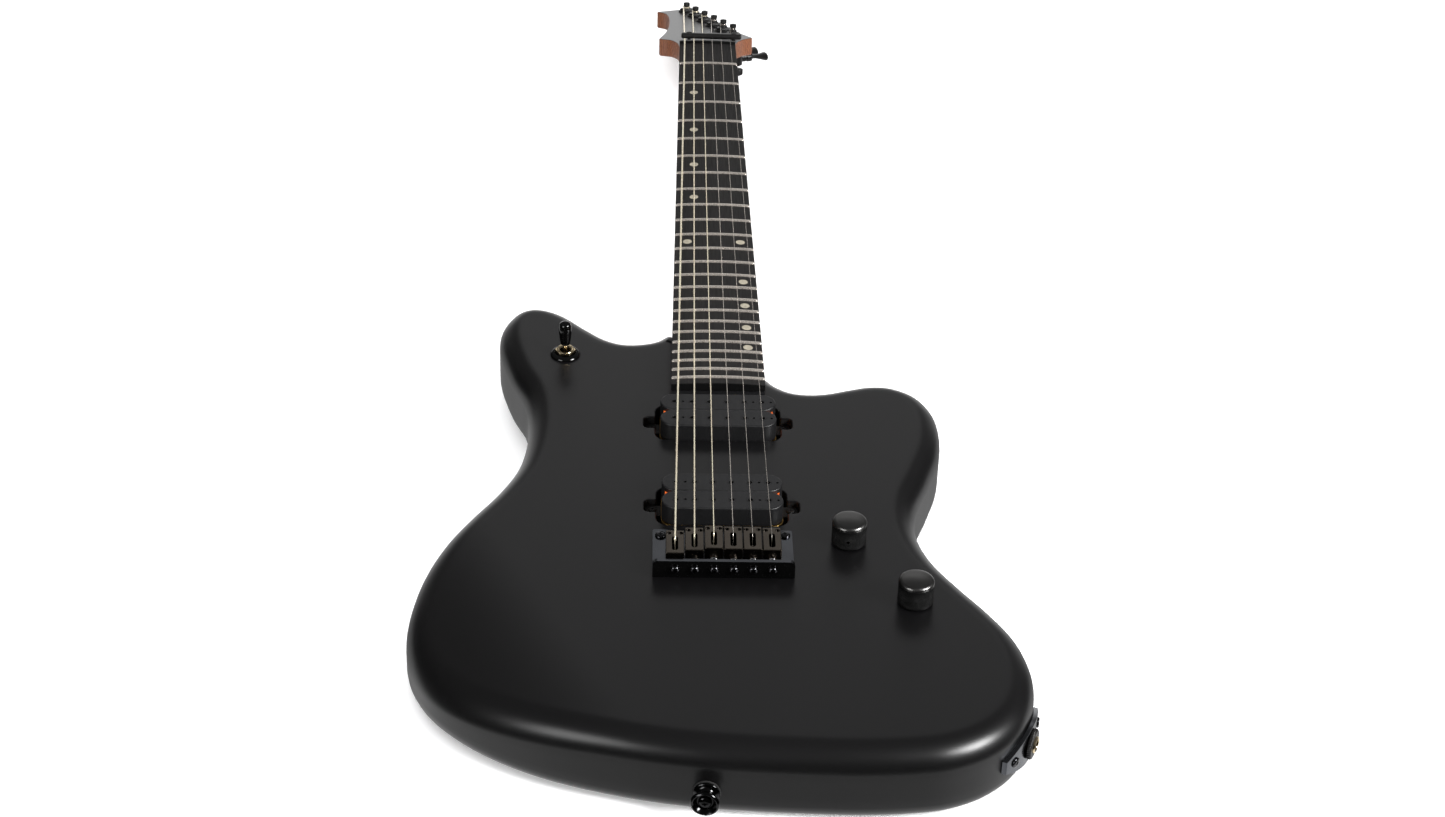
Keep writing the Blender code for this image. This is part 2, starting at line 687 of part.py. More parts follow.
def make_neck():
    heel_depth = BOARD_BOTTOM - POCKET_FLOOR - GAP
    stations = [
        (BOARD_END + GAP, heel_depth, 9.0), (205.0 * MM, heel_depth, 9.0),
        (235.0 * MM, heel_depth * 0.98, 5.0), (252.0 * MM, heel_depth * 0.93, 3.2),
        (270.0 * MM, NECK_DEPTH_BODY + 0.8 * MM, 2.5), (300.0 * MM, NECK_DEPTH_BODY, 2.3),
        (400.0 * MM, 15.6 * MM, 2.3), (520.0 * MM, 14.8 * MM, 2.3),
        (625.0 * MM, NECK_DEPTH_NUT, 2.3), (643.0 * MM, NECK_DEPTH_NUT + 0.4 * MM, 2.6),
        (651.0 * MM, NECK_DEPTH_NUT + 0.4 * MM, 3.4),
    ]
    rings = []
    for y, depth, fullness in stations:
        rings.append(neck_section(y, board_half_width(y) - GAP, BOARD_BOTTOM, depth, fullness))
    rings.append(neck_section(653.0 * MM, NUT_HALF_WIDTH - GAP, BOARD_BOTTOM - 0.2 * MM,
                              13.0 * MM, 3.4))
    rings.append(neck_section(660.0 * MM, NUT_HALF_WIDTH - 1.0 * MM, BOARD_BOTTOM - 3.5 * MM,
                              6.0 * MM, 3.0))
    neck = loft("neck", rings)
    outline = [(x * MM, y * MM) for x, y in HEAD_BASS_SIDE + HEAD_TREBLE_SIDE]
    head = slab("head", outline, -HEAD_THICKNESS, 0.0, HEAD_MATRIX)
    join(neck, head)
    neck = bake(neck)
    rod_channel = box("rod_channel", (-3.4 * MM, 172.0 * MM, BOARD_BOTTOM - 9.6 * MM),
                      (3.4 * MM, 644.0 * MM, BOARD_BOTTOM + 2.0 * MM))
    cut(neck, rod_channel)
    for number, (x, y) in enumerate(NECK_BOLTS):
        cut(neck, rod("neck_hole_%d" % number, (x, y, POCKET_FLOOR - 2.0 * MM),
                      (x, y, NECK_BOLT_TOP + 1.0 * MM), 2.5 * MM, 10))
    for index in range(STRING_COUNT):
        frame = tuner_matrix(index)
        cut(neck, rod("post_hole_%d" % index, frame @ Vector((0.0, 0.0, 2.0 * MM)),
                      frame @ Vector((0.0, 0.0, -HEAD_THICKNESS - 2.0 * MM)), 5.0 * MM, 14))
    return finish_part(neck, "neck", (0.26, 0.09, 0.04), 0.45)


def board_ring(y, top):
    """Fretboard section at y: a domed top with straight sides and a flat underside."""
    half = board_half_width(y)
    steps = 4
    ring = [(-half, y, BOARD_BOTTOM + GAP), (half, y, BOARD_BOTTOM + GAP)]
    for k in range(steps + 1):
        x = half - 2.0 * half * k / steps
        ring.append((x, y, top - crown_drop(x)))
    return ring


def make_fretboard():
    rings = [board_ring(BOARD_END, BOARD_TOP)]
    for number in range(FRET_COUNT, 0, -1):
        y = SCALE_LENGTH * 2.0 ** (-number / 12.0)
        rings.append(board_ring(y - FRET_WIDTH / 2.0, BOARD_TOP))
        rings.append(board_ring(y - FRET_WIDTH / 4.0, FRET_TOP))
        rings.append(board_ring(y + FRET_WIDTH / 4.0, FRET_TOP))
        rings.append(board_ring(y + FRET_WIDTH / 2.0, BOARD_TOP))
    rings.append(board_ring(SCALE_LENGTH - GAP, BOARD_TOP))
    board = loft("fretboard", rings)
    return finish_part(board, "fretboard", (0.02, 0.017, 0.015), 0.5)


def make_nut():
    low = BOARD_BOTTOM + GAP
    half = NUT_HALF_WIDTH
    front = SCALE_LENGTH
    back = SCALE_LENGTH + NUT_LENGTH - GAP
    steps = 6
    rings = []
    for y, drop in ((front, 0.0), (back, 1.2 * MM)):
        ring = [(-half, y, low), (half, y, low)]
        for k in range(steps + 1):
            x = half - 2.0 * half * k / steps
            ring.append((x, y, FRET_TOP + NUT_ACTION - GAP - drop - crown_drop(x)))
        rings.append(ring)
    return finish_part(loft("nut", rings), "nut", (0.01, 0.01, 0.01), 0.4)


def make_truss_rod():
    low = BOARD_BOTTOM - 9.2 * MM
    high = BOARD_BOTTOM - 0.5 * MM
    bar = slab("truss_rod", round_box(-3.0 * MM, low, 3.0 * MM, high, 1.5 * MM, 2),
               173.0 * MM, 643.0 * MM)
    bar.data.transform(Matrix.Rotation(math.radians(90.0), 4, "X"))
    bar.data.transform(Matrix.Scale(-1.0, 4, Vector((0.0, 1.0, 0.0))))
    bar.data.flip_normals()
    return finish_part(bar, "truss_rod", (0.35, 0.35, 0.36), 0.4, 1.0)


def make_retainer():
    """The bar across the strings behind the nut, with its two screws into the headstock."""
    turn = Matrix.Rotation(math.radians(-3.0), 4, "Z")
    frame = HEAD_MATRIX @ Matrix.Translation((RETAINER_AT.x, RETAINER_AT.y, 0.0)) @ turn
    bar = slab("string_retainer_bar", [(-2.6 * MM, 4.3 * MM), (2.6 * MM, 4.3 * MM),
                                       (3.3 * MM, 6.4 * MM), (2.2 * MM, 8.2 * MM),
                                       (-2.2 * MM, 8.2 * MM), (-3.3 * MM, 6.4 * MM)],
               -22.4 * MM, 22.4 * MM)
    stand = Matrix(((0.0, 0.0, 1.0, 0.0), (1.0, 0.0, 0.0, 0.0), (0.0, 1.0, 0.0, 0.0),
                    (0.0, 0.0, 0.0, 1.0)))
    bar.data.transform(stand)
    bar.matrix_world = frame
    for side in (-1.0, 1.0):
        x = side * RETAINER_SCREW
        screw = turned("retainer_screw", [(0.0, 8.9 * MM), (2.4 * MM, 8.9 * MM),
                                          (2.4 * MM, 7.0 * MM), (1.3 * MM, 6.8 * MM),
                                          (1.3 * MM, -9.0 * MM), (0.0, -9.0 * MM)], 10,
                       matrix=frame @ Matrix.Translation((x, 0.0, 0.0)))
        join(bar, screw)
        cut(bpy.data.objects["neck"],
            rod("retainer_hole", frame @ Vector((x, 0.0, 3.0 * MM)),
                frame @ Vector((x, 0.0, -9.6 * MM)), 1.7 * MM, 8))
    return finish_part(bar, "string_retainer_bar", (0.01, 0.01, 0.01), 0.35, 0.6)


# ----------------------------------------------------------------- tuners

def housing_mesh():
    """Cast housing under the headstock, with its threaded sleeve, washer and nut on top."""
    back = -HEAD_THICKNESS - GAP
    low = back - HOUSING_DEPTH
    bore = POST_RADIUS + GAP
    ring = [
        (4.4 * MM, 3.0 * MM), (5.0 * MM, 2.4 * MM), (5.0 * MM, 1.2 * MM),
        (6.8 * MM, 1.2 * MM), (6.8 * MM, GAP), (4.6 * MM, GAP), (4.6 * MM, back),
        (HOUSING_RADIUS, back), (HOUSING_RADIUS, low + 1.2 * MM),
        (HOUSING_RADIUS - 1.2 * MM, low), (bore, low), (bore, 3.0 * MM),
    ]
    shell = turned("housing", ring, 12, closed=True)
    axis = back - WORM_DEPTH + GAP
    arm = rod("arm", (-6.0 * MM, WORM_OFFSET, axis), (ARM_REACH, WORM_OFFSET, axis), ARM_RADIUS, 8)
    join(shell, arm)
    shell = bake(shell)
    gear_room = turned("gear_room", [(0.0, axis + 2.2 * MM),
                                     (GEAR_RADIUS + 0.5 * MM, axis + 2.2 * MM),
                                     (GEAR_RADIUS + 0.5 * MM, axis - 2.2 * MM),
                                     (0.0, axis - 2.2 * MM)], 12)
    worm_room = rod("worm_room", (-4.0 * MM, WORM_OFFSET, axis),
                    (ARM_REACH + 2.0 * MM, WORM_OFFSET, axis), WORM_RADIUS + 0.5 * MM, 8)
    cut(shell, worm_room, gear_room)
    return bake(shell)


def post_profile(top):
    """Post from its cap down through the gear to the locking wheel."""
    back = -HEAD_THICKNESS - GAP
    axis = back - WORM_DEPTH + GAP
    wheel_high = back - 12.0 * MM
    wheel_low = back - 17.0 * MM
    shoulder = top - POST_CAP - 1.5 * MM
    return [
        (0.0, top), (2.4 * MM, top),
        (2.4 * MM, top - POST_CAP + 0.6 * MM), (POST_NECK_RADIUS, top - POST_CAP),
        (POST_NECK_RADIUS, shoulder), (POST_RADIUS, shoulder - 0.6 * MM),
        (POST_RADIUS, axis + 1.6 * MM), (GEAR_RADIUS, axis + 1.6 * MM),
        (GEAR_RADIUS, axis - 1.6 * MM), (POST_RADIUS, axis - 1.6 * MM),
        (POST_RADIUS, wheel_high), (7.4 * MM, wheel_high), (8.5 * MM, wheel_high - 1.0 * MM),
        (8.5 * MM, wheel_low + 1.2 * MM), (7.0 * MM, wheel_low), (0.0, wheel_low),
    ]


def button_mesh():
    """Waisted oval tuner button on its worm shaft, along +X of the tuner frame."""
    reach = BUTTON_REACH
    inner = ARM_REACH + 0.5 * MM
    knob = turned("button", [
        (0.0, reach), (6.6 * MM, reach), (8.0 * MM, reach - 0.8 * MM),
        (8.2 * MM, reach - 2.6 * MM), (6.2 * MM, reach - 6.5 * MM), (4.4 * MM, inner + 2.6 * MM),
        (4.2 * MM, inner), (0.0, inner),
    ], 12)
    knob.data.transform(Matrix.Diagonal((0.42, 1.0, 1.0, 1.0)))
    shaft = turned("shaft", [(0.0, inner + 2.0 * MM), (WORM_RADIUS, inner + 2.0 * MM),
                             (WORM_RADIUS, -3.0 * MM), (0.0, -3.0 * MM)], 8)
    join(knob, shaft)
    knob = bake(knob)
    knob.data.transform(Matrix.Rotation(math.radians(90.0), 4, "Y"))
    return knob


def make_tuners():
    housing = housing_mesh()
    button = button_mesh()
    axis = -HEAD_THICKNESS - WORM_DEPTH
    for index in range(STRING_COUNT):
        number = index + 1
        frame = tuner_matrix(index)
        shell = link_mesh("housing", housing.data.copy(), frame)
        finish_part(shell, "tuner_housing_%d" % number, (0.012, 0.012, 0.012), 0.3, 0.7)
        post = turned("post", post_profile(post_top(index)), 10, matrix=frame)
        finish_part(post, "tuner_post_%d" % number, (0.015, 0.015, 0.015), 0.3, 0.8)
        knob = link_mesh("button", button.data.copy(),
                         frame @ Matrix.Translation((0.0, WORM_OFFSET, axis)))
        finish_part(knob, "tuner_button_%d" % number, (0.012, 0.012, 0.012), 0.25, 0.8)
    bpy.data.objects.remove(housing, do_unlink=True)
    bpy.data.objects.remove(button, do_unlink=True)


# ---------------------------------------------------------------- strings

def string_route(index):
    """Centreline of a string: up through the body, over the saddle and nut, to its post."""
    radius = STRING_RADII[index]
    x = saddle_x(index)
    top = string_at_saddle(index) + radius
    bend = SADDLE_FRONTS[index] - SLOT_SETBACK - BREAK_SETBACK
    nut_level = string_at_nut(index) + radius
    tuner = tuner_at(index)
    wrap = post_top(index) - WRAP_DROP
    head = HEAD_MATRIX
    under = 4.0 * MM - radius - 0.25 * MM
    share = 11.5 / (tuner.y / MM)
    side = tuner.x - POST_NECK_RADIUS - radius - GAP
    bar_x = nut_x(index) + (side - nut_x(index)) * share
    return [
        Vector((x, STRING_HOLE_Y, 9.0 * MM)),
        Vector((x, STRING_HOLE_Y, 46.0 * MM)),
        Vector((x, bend - 0.6 * MM, top - 1.2 * MM)),
        Vector((x, bend + 0.5 * MM, top)),
        Vector((nut_x(index), SCALE_LENGTH + 0.5 * MM, nut_level)),
        Vector((nut_x(index), SCALE_LENGTH + NUT_LENGTH, nut_level - 0.9 * MM)),
        head @ Vector((bar_x - 0.1 * MM, 9.0 * MM, under)),
        head @ Vector((bar_x + 0.1 * MM, 14.5 * MM, under)),
        head @ Vector((side, tuner.y - 2.5 * MM, wrap)),
        head @ Vector((side, tuner.y + 0.5 * MM, wrap)),
    ]


def make_strings():
    for index in range(STRING_COUNT):
        name = "string_%d" % (index + 1)
        curve = bpy.data.curves.new(name, "CURVE")
        curve.dimensions = "3D"
        curve.bevel_depth = STRING_RADII[index]
        curve.bevel_resolution = 2
        curve.use_fill_caps = True
        route = string_route(index)
        spline = curve.splines.new("POLY")
        spline.points.add(len(route) - 1)
        for point, place in zip(spline.points, route):
            point.co = (*place, 1.0)
        wound = index < 3
        colour = (0.55, 0.5, 0.42) if wound else (0.5, 0.5, 0.5)
        finish_part(bake(link_mesh(name, curve)), name, colour, 0.3, 1.0)


# ----------------------------------------------------------------- bridge

def make_bridge():
    low = PLATE_BOTTOM
    plate = slab("bridge_plate", round_box(-PLATE_HALF_WIDTH, PLATE_BACK, PLATE_HALF_WIDTH,
                                           PLATE_FRONT, 1.6 * MM),
                 low, low + PLATE_THICKNESS)
    high = low + WALL_HEIGHT
    corner = 3.0 * MM
    wall_outline = ([(-PLATE_HALF_WIDTH + 0.2 * MM, low), (PLATE_HALF_WIDTH - 0.2 * MM, low)]
                    + arc((PLATE_HALF_WIDTH - 0.2 * MM - corner, high - corner), corner,
                          0.0, 90.0, 3)
                    + arc((-PLATE_HALF_WIDTH + 0.2 * MM + corner, high - corner), corner,
                          90.0, 180.0, 3))
    wall = slab("bridge_wall", wall_outline, 0.0, WALL_THICKNESS)
    wall.matrix_world = (Matrix.Translation((0.0, PLATE_BACK + WALL_THICKNESS, 0.0))
                         @ Matrix.Rotation(math.radians(90.0), 4, "X"))
    join(plate, wall)
    plate = bake(plate)
    for index in range(STRING_COUNT):
        x = saddle_x(index)
        cut(plate, rod("bridge_hole", (x, STRING_HOLE_Y, low - MM), (x, STRING_HOLE_Y, low + 4 * MM),
                       STRING_HOLE_RADIUS, 10),
            rod("wall_hole", (x, PLATE_BACK - MM, SCREW_LEVEL),
                (x, PLATE_BACK + WALL_THICKNESS + MM, SCREW_LEVEL), SCREW_RADIUS + GAP, 10))
    finish_part(plate, "bridge_plate", (0.02, 0.021, 0.024), 0.35, 0.8)
    for index in range(STRING_COUNT):
        make_saddle(index)
        make_intonation_screw(index)


def make_saddle(index):
    """Block saddle with its long string slot and the tapped hole for its screw."""
    x = saddle_x(index)
    front = SADDLE_FRONTS[index]
    back = front - SADDLE_LENGTH
    low = PLATE_BOTTOM + PLATE_THICKNESS + SADDLE_LIFT
    high = string_at_saddle(index) - GAP
    half = SADDLE_WIDTH / 2.0
    block = slab("saddle", round_box(x - half, back, x + half, front, 0.5 * MM, 1), low, high)
    slot_front = front - SLOT_SETBACK - SLOT_WIDTH / 2.0
    slot_back = front - SLOT_SETBACK - SLOT_LENGTH + SLOT_WIDTH / 2.0
    slot = slab("slot", stadium((x, slot_back), (x, slot_front), SLOT_WIDTH / 2.0, 5),
                low - MM, high + MM)
    hole = rod("saddle_hole", (x, back - MM, SCREW_LEVEL), (x, slot_back, SCREW_LEVEL),
               SCREW_RADIUS + GAP, 10)
    cut(block, slot, hole)
    return finish_part(block, "saddle_%d" % (index + 1), (0.03, 0.027, 0.024), 0.3, 0.9)


def make_intonation_screw(index):
    """Screw through the bridge wall into the saddle, origin on its own axis."""
    tip = SADDLE_FRONTS[index] - SADDLE_LENGTH + 4.6 * MM
    length = tip - PLATE_BACK
    profile = [
        (0.0, length), (SCREW_RADIUS - 0.4 * MM, length), (SCREW_RADIUS, length - 0.6 * MM),
        (SCREW_RADIUS, -GAP), (2.5 * MM, -GAP), (2.4 * MM, -1.3 * MM),
        (1.4 * MM, -2.2 * MM), (0.0, -2.4 * MM),
    ]
    place = (Matrix.Translation((saddle_x(index), PLATE_BACK, SCREW_LEVEL))
             @ Matrix.Rotation(math.radians(-90.0), 4, "X"))
    screw = turned("intonation_screw", profile, 8, matrix=place)
    return finish_part(screw, "intonation_screw_%d" % (index + 1), (0.012, 0.012, 0.012), 0.25, 0.9)


# ---------------------------------------------------------------- pickups

def make_pickup(kind, at, top):
    """A humbucker of two round-ended bobbins on a base with two mounting ears."""
    radius = BOBBIN_WIDTH / 2.0
    straight = Vector((BOBBIN_LENGTH / 2.0 - radius, 0.0))
    low = top - BOBBIN_HEIGHT
    lift = Vector((0.0, radius + 0.1 * MM))
    far_coil = slab("far_coil", stadium(at + lift - straight, at + lift + straight, radius, 7),
                    low, top)
    near_coil = slab("near_coil", stadium(at - lift - straight, at - lift + straight, radius, 7),
                     low, top)
    web = slab("web", centred_box(at, straight.x, 3.0 * MM, 1.0 * MM), low + 0.2 * MM,
               low + 3.0 * MM)
    coils = join(far_coil, near_coil, web)
    finish_part(coils, kind + "_pickup_coils", (0.02, 0.02, 0.021), 0.6)
    floor = low - 4.6 * MM
    base = slab("base", centred_box(at, BOBBIN_LENGTH / 2.0 - 0.6 * MM, BOBBIN_WIDTH - 0.3 * MM,
                                    6.0 * MM), floor, low - GAP)
    ears = slab("ears", centred_box(at, EAR_REACH - 0.5 * MM, EAR_WIDTH / 2.0 - 0.5 * MM,
                                    2.6 * MM), floor + 0.4 * MM, floor + 2.2 * MM)
    join(base, ears)
    return finish_part(base, kind + "_pickup_base", (0.015, 0.015, 0.015), 0.4, 0.6)


# --------------------------------------------------------------- controls

def make_pot(kind, at):
    """Potentiometer can under the top, its threaded sleeve and the nut above it."""
    under = CAVITY_TOP - GAP
    over = BODY_THICKNESS + GAP
    bore = 3.3 * MM
    ring = [
        (5.6 * MM, over + 2.6 * MM), (6.8 * MM, over + 2.2 * MM), (6.8 * MM, over),
        (4.6 * MM, over), (4.6 * MM, under), (12.0 * MM, under), (12.0 * MM, under - 9.0 * MM),
        (bore, under - 9.0 * MM), (bore, over + 2.6 * MM),
    ]
    pot = turned("pot", ring, 14, closed=True, matrix=Matrix.Translation((at.x, at.y, 0.0)))
    finish_part(pot, kind + "_pot", (0.4, 0.4, 0.4), 0.4, 1.0)


def make_knob(kind, at):
    """Dome-topped knob, hollow over the pot's nut, fixed on the pot's round shaft."""
    low = BODY_THICKNESS + KNOB_CLEARANCE
    top = low + KNOB_HEIGHT
    shaft = 3.0 * MM
    end = CAVITY_TOP - 8.0 * MM
    dome = 2.2 * MM
    profile = [
        (0.0, top), (KNOB_RADIUS * 0.5, top - 0.35 * MM), (KNOB_RADIUS * 0.8, top - 1.1 * MM),
        (KNOB_RADIUS - 0.2 * MM, top - dome), (KNOB_RADIUS, top - dome - 0.8 * MM),
        (KNOB_RADIUS, low), (KNOB_RADIUS - 1.6 * MM, low), (KNOB_RADIUS - 1.6 * MM, low + 4.0 * MM),
        (shaft, low + 4.0 * MM), (shaft, end), (0.0, end),
    ]
    knob = turned("knob", profile, 16, matrix=Matrix.Translation((at.x, at.y, 0.0)))
    finish_part(knob, kind + "_knob", (0.012, 0.012, 0.012), 0.35, 0.4)


def make_switch():
    """Toggle switch: its body and sleeve in the top, and the lever that tilts in it."""
    under = CAVITY_TOP - GAP
    over = BODY_THICKNESS + GAP
    bore = 3.4 * MM
    ring = [
        (5.0 * MM, over + 3.8 * MM), (6.2 * MM, over + 3.4 * MM), (6.2 * MM, over + 1.7 * MM),
        (8.2 * MM, over + 1.5 * MM), (9.4 * MM, over + 0.6 * MM), (9.4 * MM, over),
        (5.9 * MM, over), (5.9 * MM, under), (9.0 * MM, under), (9.0 * MM, under - 24.0 * MM),
        (bore, under - 24.0 * MM), (bore, over + 3.8 * MM),
    ]
    place = Matrix.Translation((SWITCH_AT.x, SWITCH_AT.y, 0.0))
    switch = turned("switch", ring, 14, closed=True, matrix=place)
    finish_part(switch, "toggle_switch_body", (0.5, 0.38, 0.15), 0.3, 1.0)
    lever_profile = [
        (0.0, LEVER_TIP), (2.0 * MM, LEVER_TIP - 0.5 * MM), (3.3 * MM, LEVER_TIP - 2.0 * MM),
        (3.7 * MM, LEVER_TIP - 4.2 * MM), (2.7 * MM, LEVER_FOOT), (1.5 * MM, LEVER_FOOT),
        (1.5 * MM, LEVER_PIVOT - 5.0 * MM), (0.0, LEVER_PIVOT - 5.0 * MM),
    ]
    shifted = [(radius, height - LEVER_PIVOT) for radius, height in lever_profile]
    lever = turned("lever", shifted, 12,
                   matrix=place @ Matrix.Translation((0.0, 0.0, LEVER_PIVOT)))
    finish_part(lever, "toggle_lever", (0.01, 0.01, 0.01), 0.12)


def make_jack():
    """Side socket behind a bent oval plate that follows the side of the body."""
    frame = side_matrix(JACK_INDEX_AT, JACK_LEVEL)
    out = JACK_PLATE_THICKNESS + GAP
    strip = []
    for point, normal in zip(BODY_LOOP, BODY_NORMALS):
        if (point - JACK_INDEX_AT).length < JACK_HALF_LENGTH + 24.0 * MM:
            strip.append((point, normal))
    rings = []
    for point, normal in strip:
        inner = point + normal * GAP
        outer = point + normal * out
        low = JACK_LEVEL - 14.0 * MM
        high = JACK_LEVEL + 14.0 * MM
        rings.append([(inner.x, inner.y, low), (outer.x, outer.y, low),
                      (outer.x, outer.y, high), (inner.x, inner.y, high)])
    plate = loft("jack_plate", rings)
    length = JACK_HALF_LENGTH
    outline = []
    for side in (1.0, -1.0):
        for share in (1.0, 0.66, 0.33, 0.0, -0.33, -0.66, -1.0):
            half = 4.2 * MM + 6.2 * MM * math.cos(share * math.pi / 2.0)
            outline.append((side * share * length, side * half))
    outline.reverse()
    trim = slab("jack_trim", outline, -20.0 * MM, 10.0 * MM, frame)
    combine(plate, trim, "INTERSECT")
    plate = bake(plate)
    cut(plate, rod("jack_hole", frame @ Vector((0.0, 0.0, -4.0 * MM)),
                   frame @ Vector((0.0, 0.0, 6.0 * MM)), 5.1 * MM, 16))
    finish_part(plate, "jack_plate", (0.012, 0.012, 0.013), 0.3, 0.7)
    ring = [
        (4.3 * MM, out + 3.4 * MM), (4.6 * MM, out + 3.2 * MM), (4.6 * MM, out + 2.4 * MM),
        (7.6 * MM, out + 2.4 * MM), (8.4 * MM, out + 1.4 * MM),
        (8.4 * MM, out + GAP), (4.7 * MM, out + GAP), (4.7 * MM, -1.5 * MM),
        (8.4 * MM, -1.5 * MM), (8.4 * MM, -26.0 * MM), (JACK_BORE, -26.0 * MM),
        (JACK_BORE, out + 3.2 * MM),
    ]
    socket = turned("jack_socket", ring, 16, closed=True, matrix=frame)
    finish_part(socket, "jack_socket", (0.5, 0.4, 0.2), 0.3, 1.0)


def make_strap_button(kind, at):
    """Turned strap button with a deep waist, on its own wood screw."""
    frame = side_matrix(at, STRAP_LEVEL)
    profile = [
        (0.0, 10.8 * MM), (6.0 * MM, 10.8 * MM), (7.6 * MM, 9.9 * MM), (7.4 * MM, 8.6 * MM),
        (4.4 * MM, 6.9 * MM), (4.0 * MM, 4.8 * MM), (4.6 * MM, 3.0 * MM), (6.8 * MM, 1.7 * MM),
        (6.9 * MM, GAP), (1.8 * MM, GAP), (1.6 * MM, -22.0 * MM), (0.0, -24.0 * MM),
    ]
    button = turned("strap_button", profile, 12, matrix=frame)
    finish_part(button, "strap_button_" + kind, (0.01, 0.01, 0.01), 0.2, 0.9)


def make_covers():
    """Covers on the back, and the neck plate with its four bolts."""
    control = slab("control_cover", stadium(VOLUME_AT, CAVITY_END, CAVITY_RADIUS + COVER_LIP),
                   0.0, COVER_THICKNESS)
    finish_part(control, "control_cover", (0.012, 0.012, 0.012), 0.5)
    switch = slab("switch_cover", arc(SWITCH_AT, SWITCH_CAVITY_RADIUS + COVER_LIP,
                                      0.0, 345.0, 23), 0.0, COVER_THICKNESS)
    finish_part(switch, "switch_cover", (0.012, 0.012, 0.012), 0.5)
    plate = slab("neck_plate", neck_plate_outline(0.0), 0.0, COVER_THICKNESS)
    for number, (x, y) in enumerate(NECK_BOLTS):
        join(plate, rod("bolt_%d" % number, (x, y, 1.0 * MM), (x, y, NECK_BOLT_TOP),
                        NECK_BOLT_RADIUS, 10))
    finish_part(plate, "neck_plate", (0.02, 0.02, 0.02), 0.35, 0.8)


make_body()
make_neck()
make_fretboard()
make_nut()
make_truss_rod()
make_retainer()
make_tuners()
make_strings()
make_bridge()
make_pickup("bridge", BRIDGE_PICKUP_AT, BRIDGE_PICKUP_TOP)
make_pickup("neck", NECK_PICKUP_AT, NECK_PICKUP_TOP)
make_pot("volume", VOLUME_AT)
make_pot("tone", TONE_AT)
make_knob("volume", VOLUME_AT)
make_knob("tone", TONE_AT)
make_switch()
make_jack()
make_strap_button("tail", STRAP_TAIL_AT)
make_strap_button("horn", STRAP_HORN_AT)
make_covers()
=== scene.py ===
"""Looks for the electric guitar: every visible surface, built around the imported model.

The frame is the model's: X runs across the body (bass side -X), Y from the tail to the
headstock, Z out of the front. Shapes are built in millimetres; dress() brings them to metres.
"""

import math

import bmesh
import bpy
import numpy as np
from mathutils import Matrix, Vector
from mathutils.geometry import delaunay_2d_cdt


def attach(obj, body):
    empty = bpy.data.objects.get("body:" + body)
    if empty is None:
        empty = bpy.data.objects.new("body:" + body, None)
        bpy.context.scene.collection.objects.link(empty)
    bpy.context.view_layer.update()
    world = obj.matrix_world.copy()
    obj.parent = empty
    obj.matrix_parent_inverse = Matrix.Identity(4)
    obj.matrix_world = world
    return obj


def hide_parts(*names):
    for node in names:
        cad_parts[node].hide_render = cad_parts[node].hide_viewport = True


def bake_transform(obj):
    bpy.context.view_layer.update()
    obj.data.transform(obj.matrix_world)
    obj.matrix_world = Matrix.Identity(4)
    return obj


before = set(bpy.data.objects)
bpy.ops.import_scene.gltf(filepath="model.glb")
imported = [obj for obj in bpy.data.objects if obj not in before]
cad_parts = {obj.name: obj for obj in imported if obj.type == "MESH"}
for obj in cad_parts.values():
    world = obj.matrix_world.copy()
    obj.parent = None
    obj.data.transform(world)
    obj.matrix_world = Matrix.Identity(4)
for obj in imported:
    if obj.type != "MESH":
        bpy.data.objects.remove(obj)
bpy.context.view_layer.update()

MM = 0.001
GAP = 0.3
STRINGS = range(6)

# Levels above the back of the body
BODY_TOP = 45
FRET_TOP = 56.5
BOARD_TOP = FRET_TOP - 1.1
BOARD_BOTTOM = BOARD_TOP - 6
POCKET_FLOOR = 29
TOP_ROUND = 14
BACK_ROUND = 10
FOREARM_RADIUS = 230
FOREARM_START = Vector((-46, -165))
FOREARM_OUTWARD = Vector((-0.906, -0.424))
BELLY_CENTRE = Vector((-152, 78))
BELLY_REACH = Vector((88, 112))
BELLY_DEPTH = 15

# Scale, neck and headstock
SCALE_LENGTH = 648
NUT_HALF_WIDTH = 21.4
LAST_FRET_HALF_WIDTH = 28.8
BOARD_END = 155
BOARD_RADIUS = 350
HEAD_THICKNESS = 13.5
HEAD_MATRIX = (Matrix.Translation((0, 653, 49.9)) @ Matrix.Rotation(math.radians(-15), 4, "X"))

# Tuners
TUNER_STEP = Vector((-7.02, 23.48))
TUNER_FIRST = Vector((21.2, 52))
TUNER_TURN = math.atan2(7.02, 23.48)
POST_NECK_RADIUS = 1.9
WORM_OFFSET = 6.4
WORM_LEVEL = -18.1
ARM_REACH = 17.4
BUTTON_REACH = 29.8

# Strings and bridge
STRING_RADII = [0.585, 0.455, 0.33, 0.216, 0.165, 0.127]
BRIDGE_PITCH = 10.8
NUT_PITCH = 7
PLATE_BACK = -31.5
PLATE_FRONT = 11.4
PLATE_HALF_WIDTH = 39.4
PLATE_LEVEL = 45.3
WALL_TOP = 56.1
WALL_THICKNESS = 2.4
STRING_HOLE_Y = -15.5
SADDLE_FRONTS = [-5.2, -3.2, -1.6, -2.2, -1.9, -1.6]
SADDLE_LENGTH = 21.6
SADDLE_WIDTH = 10.3
SCREW_LEVEL = 51

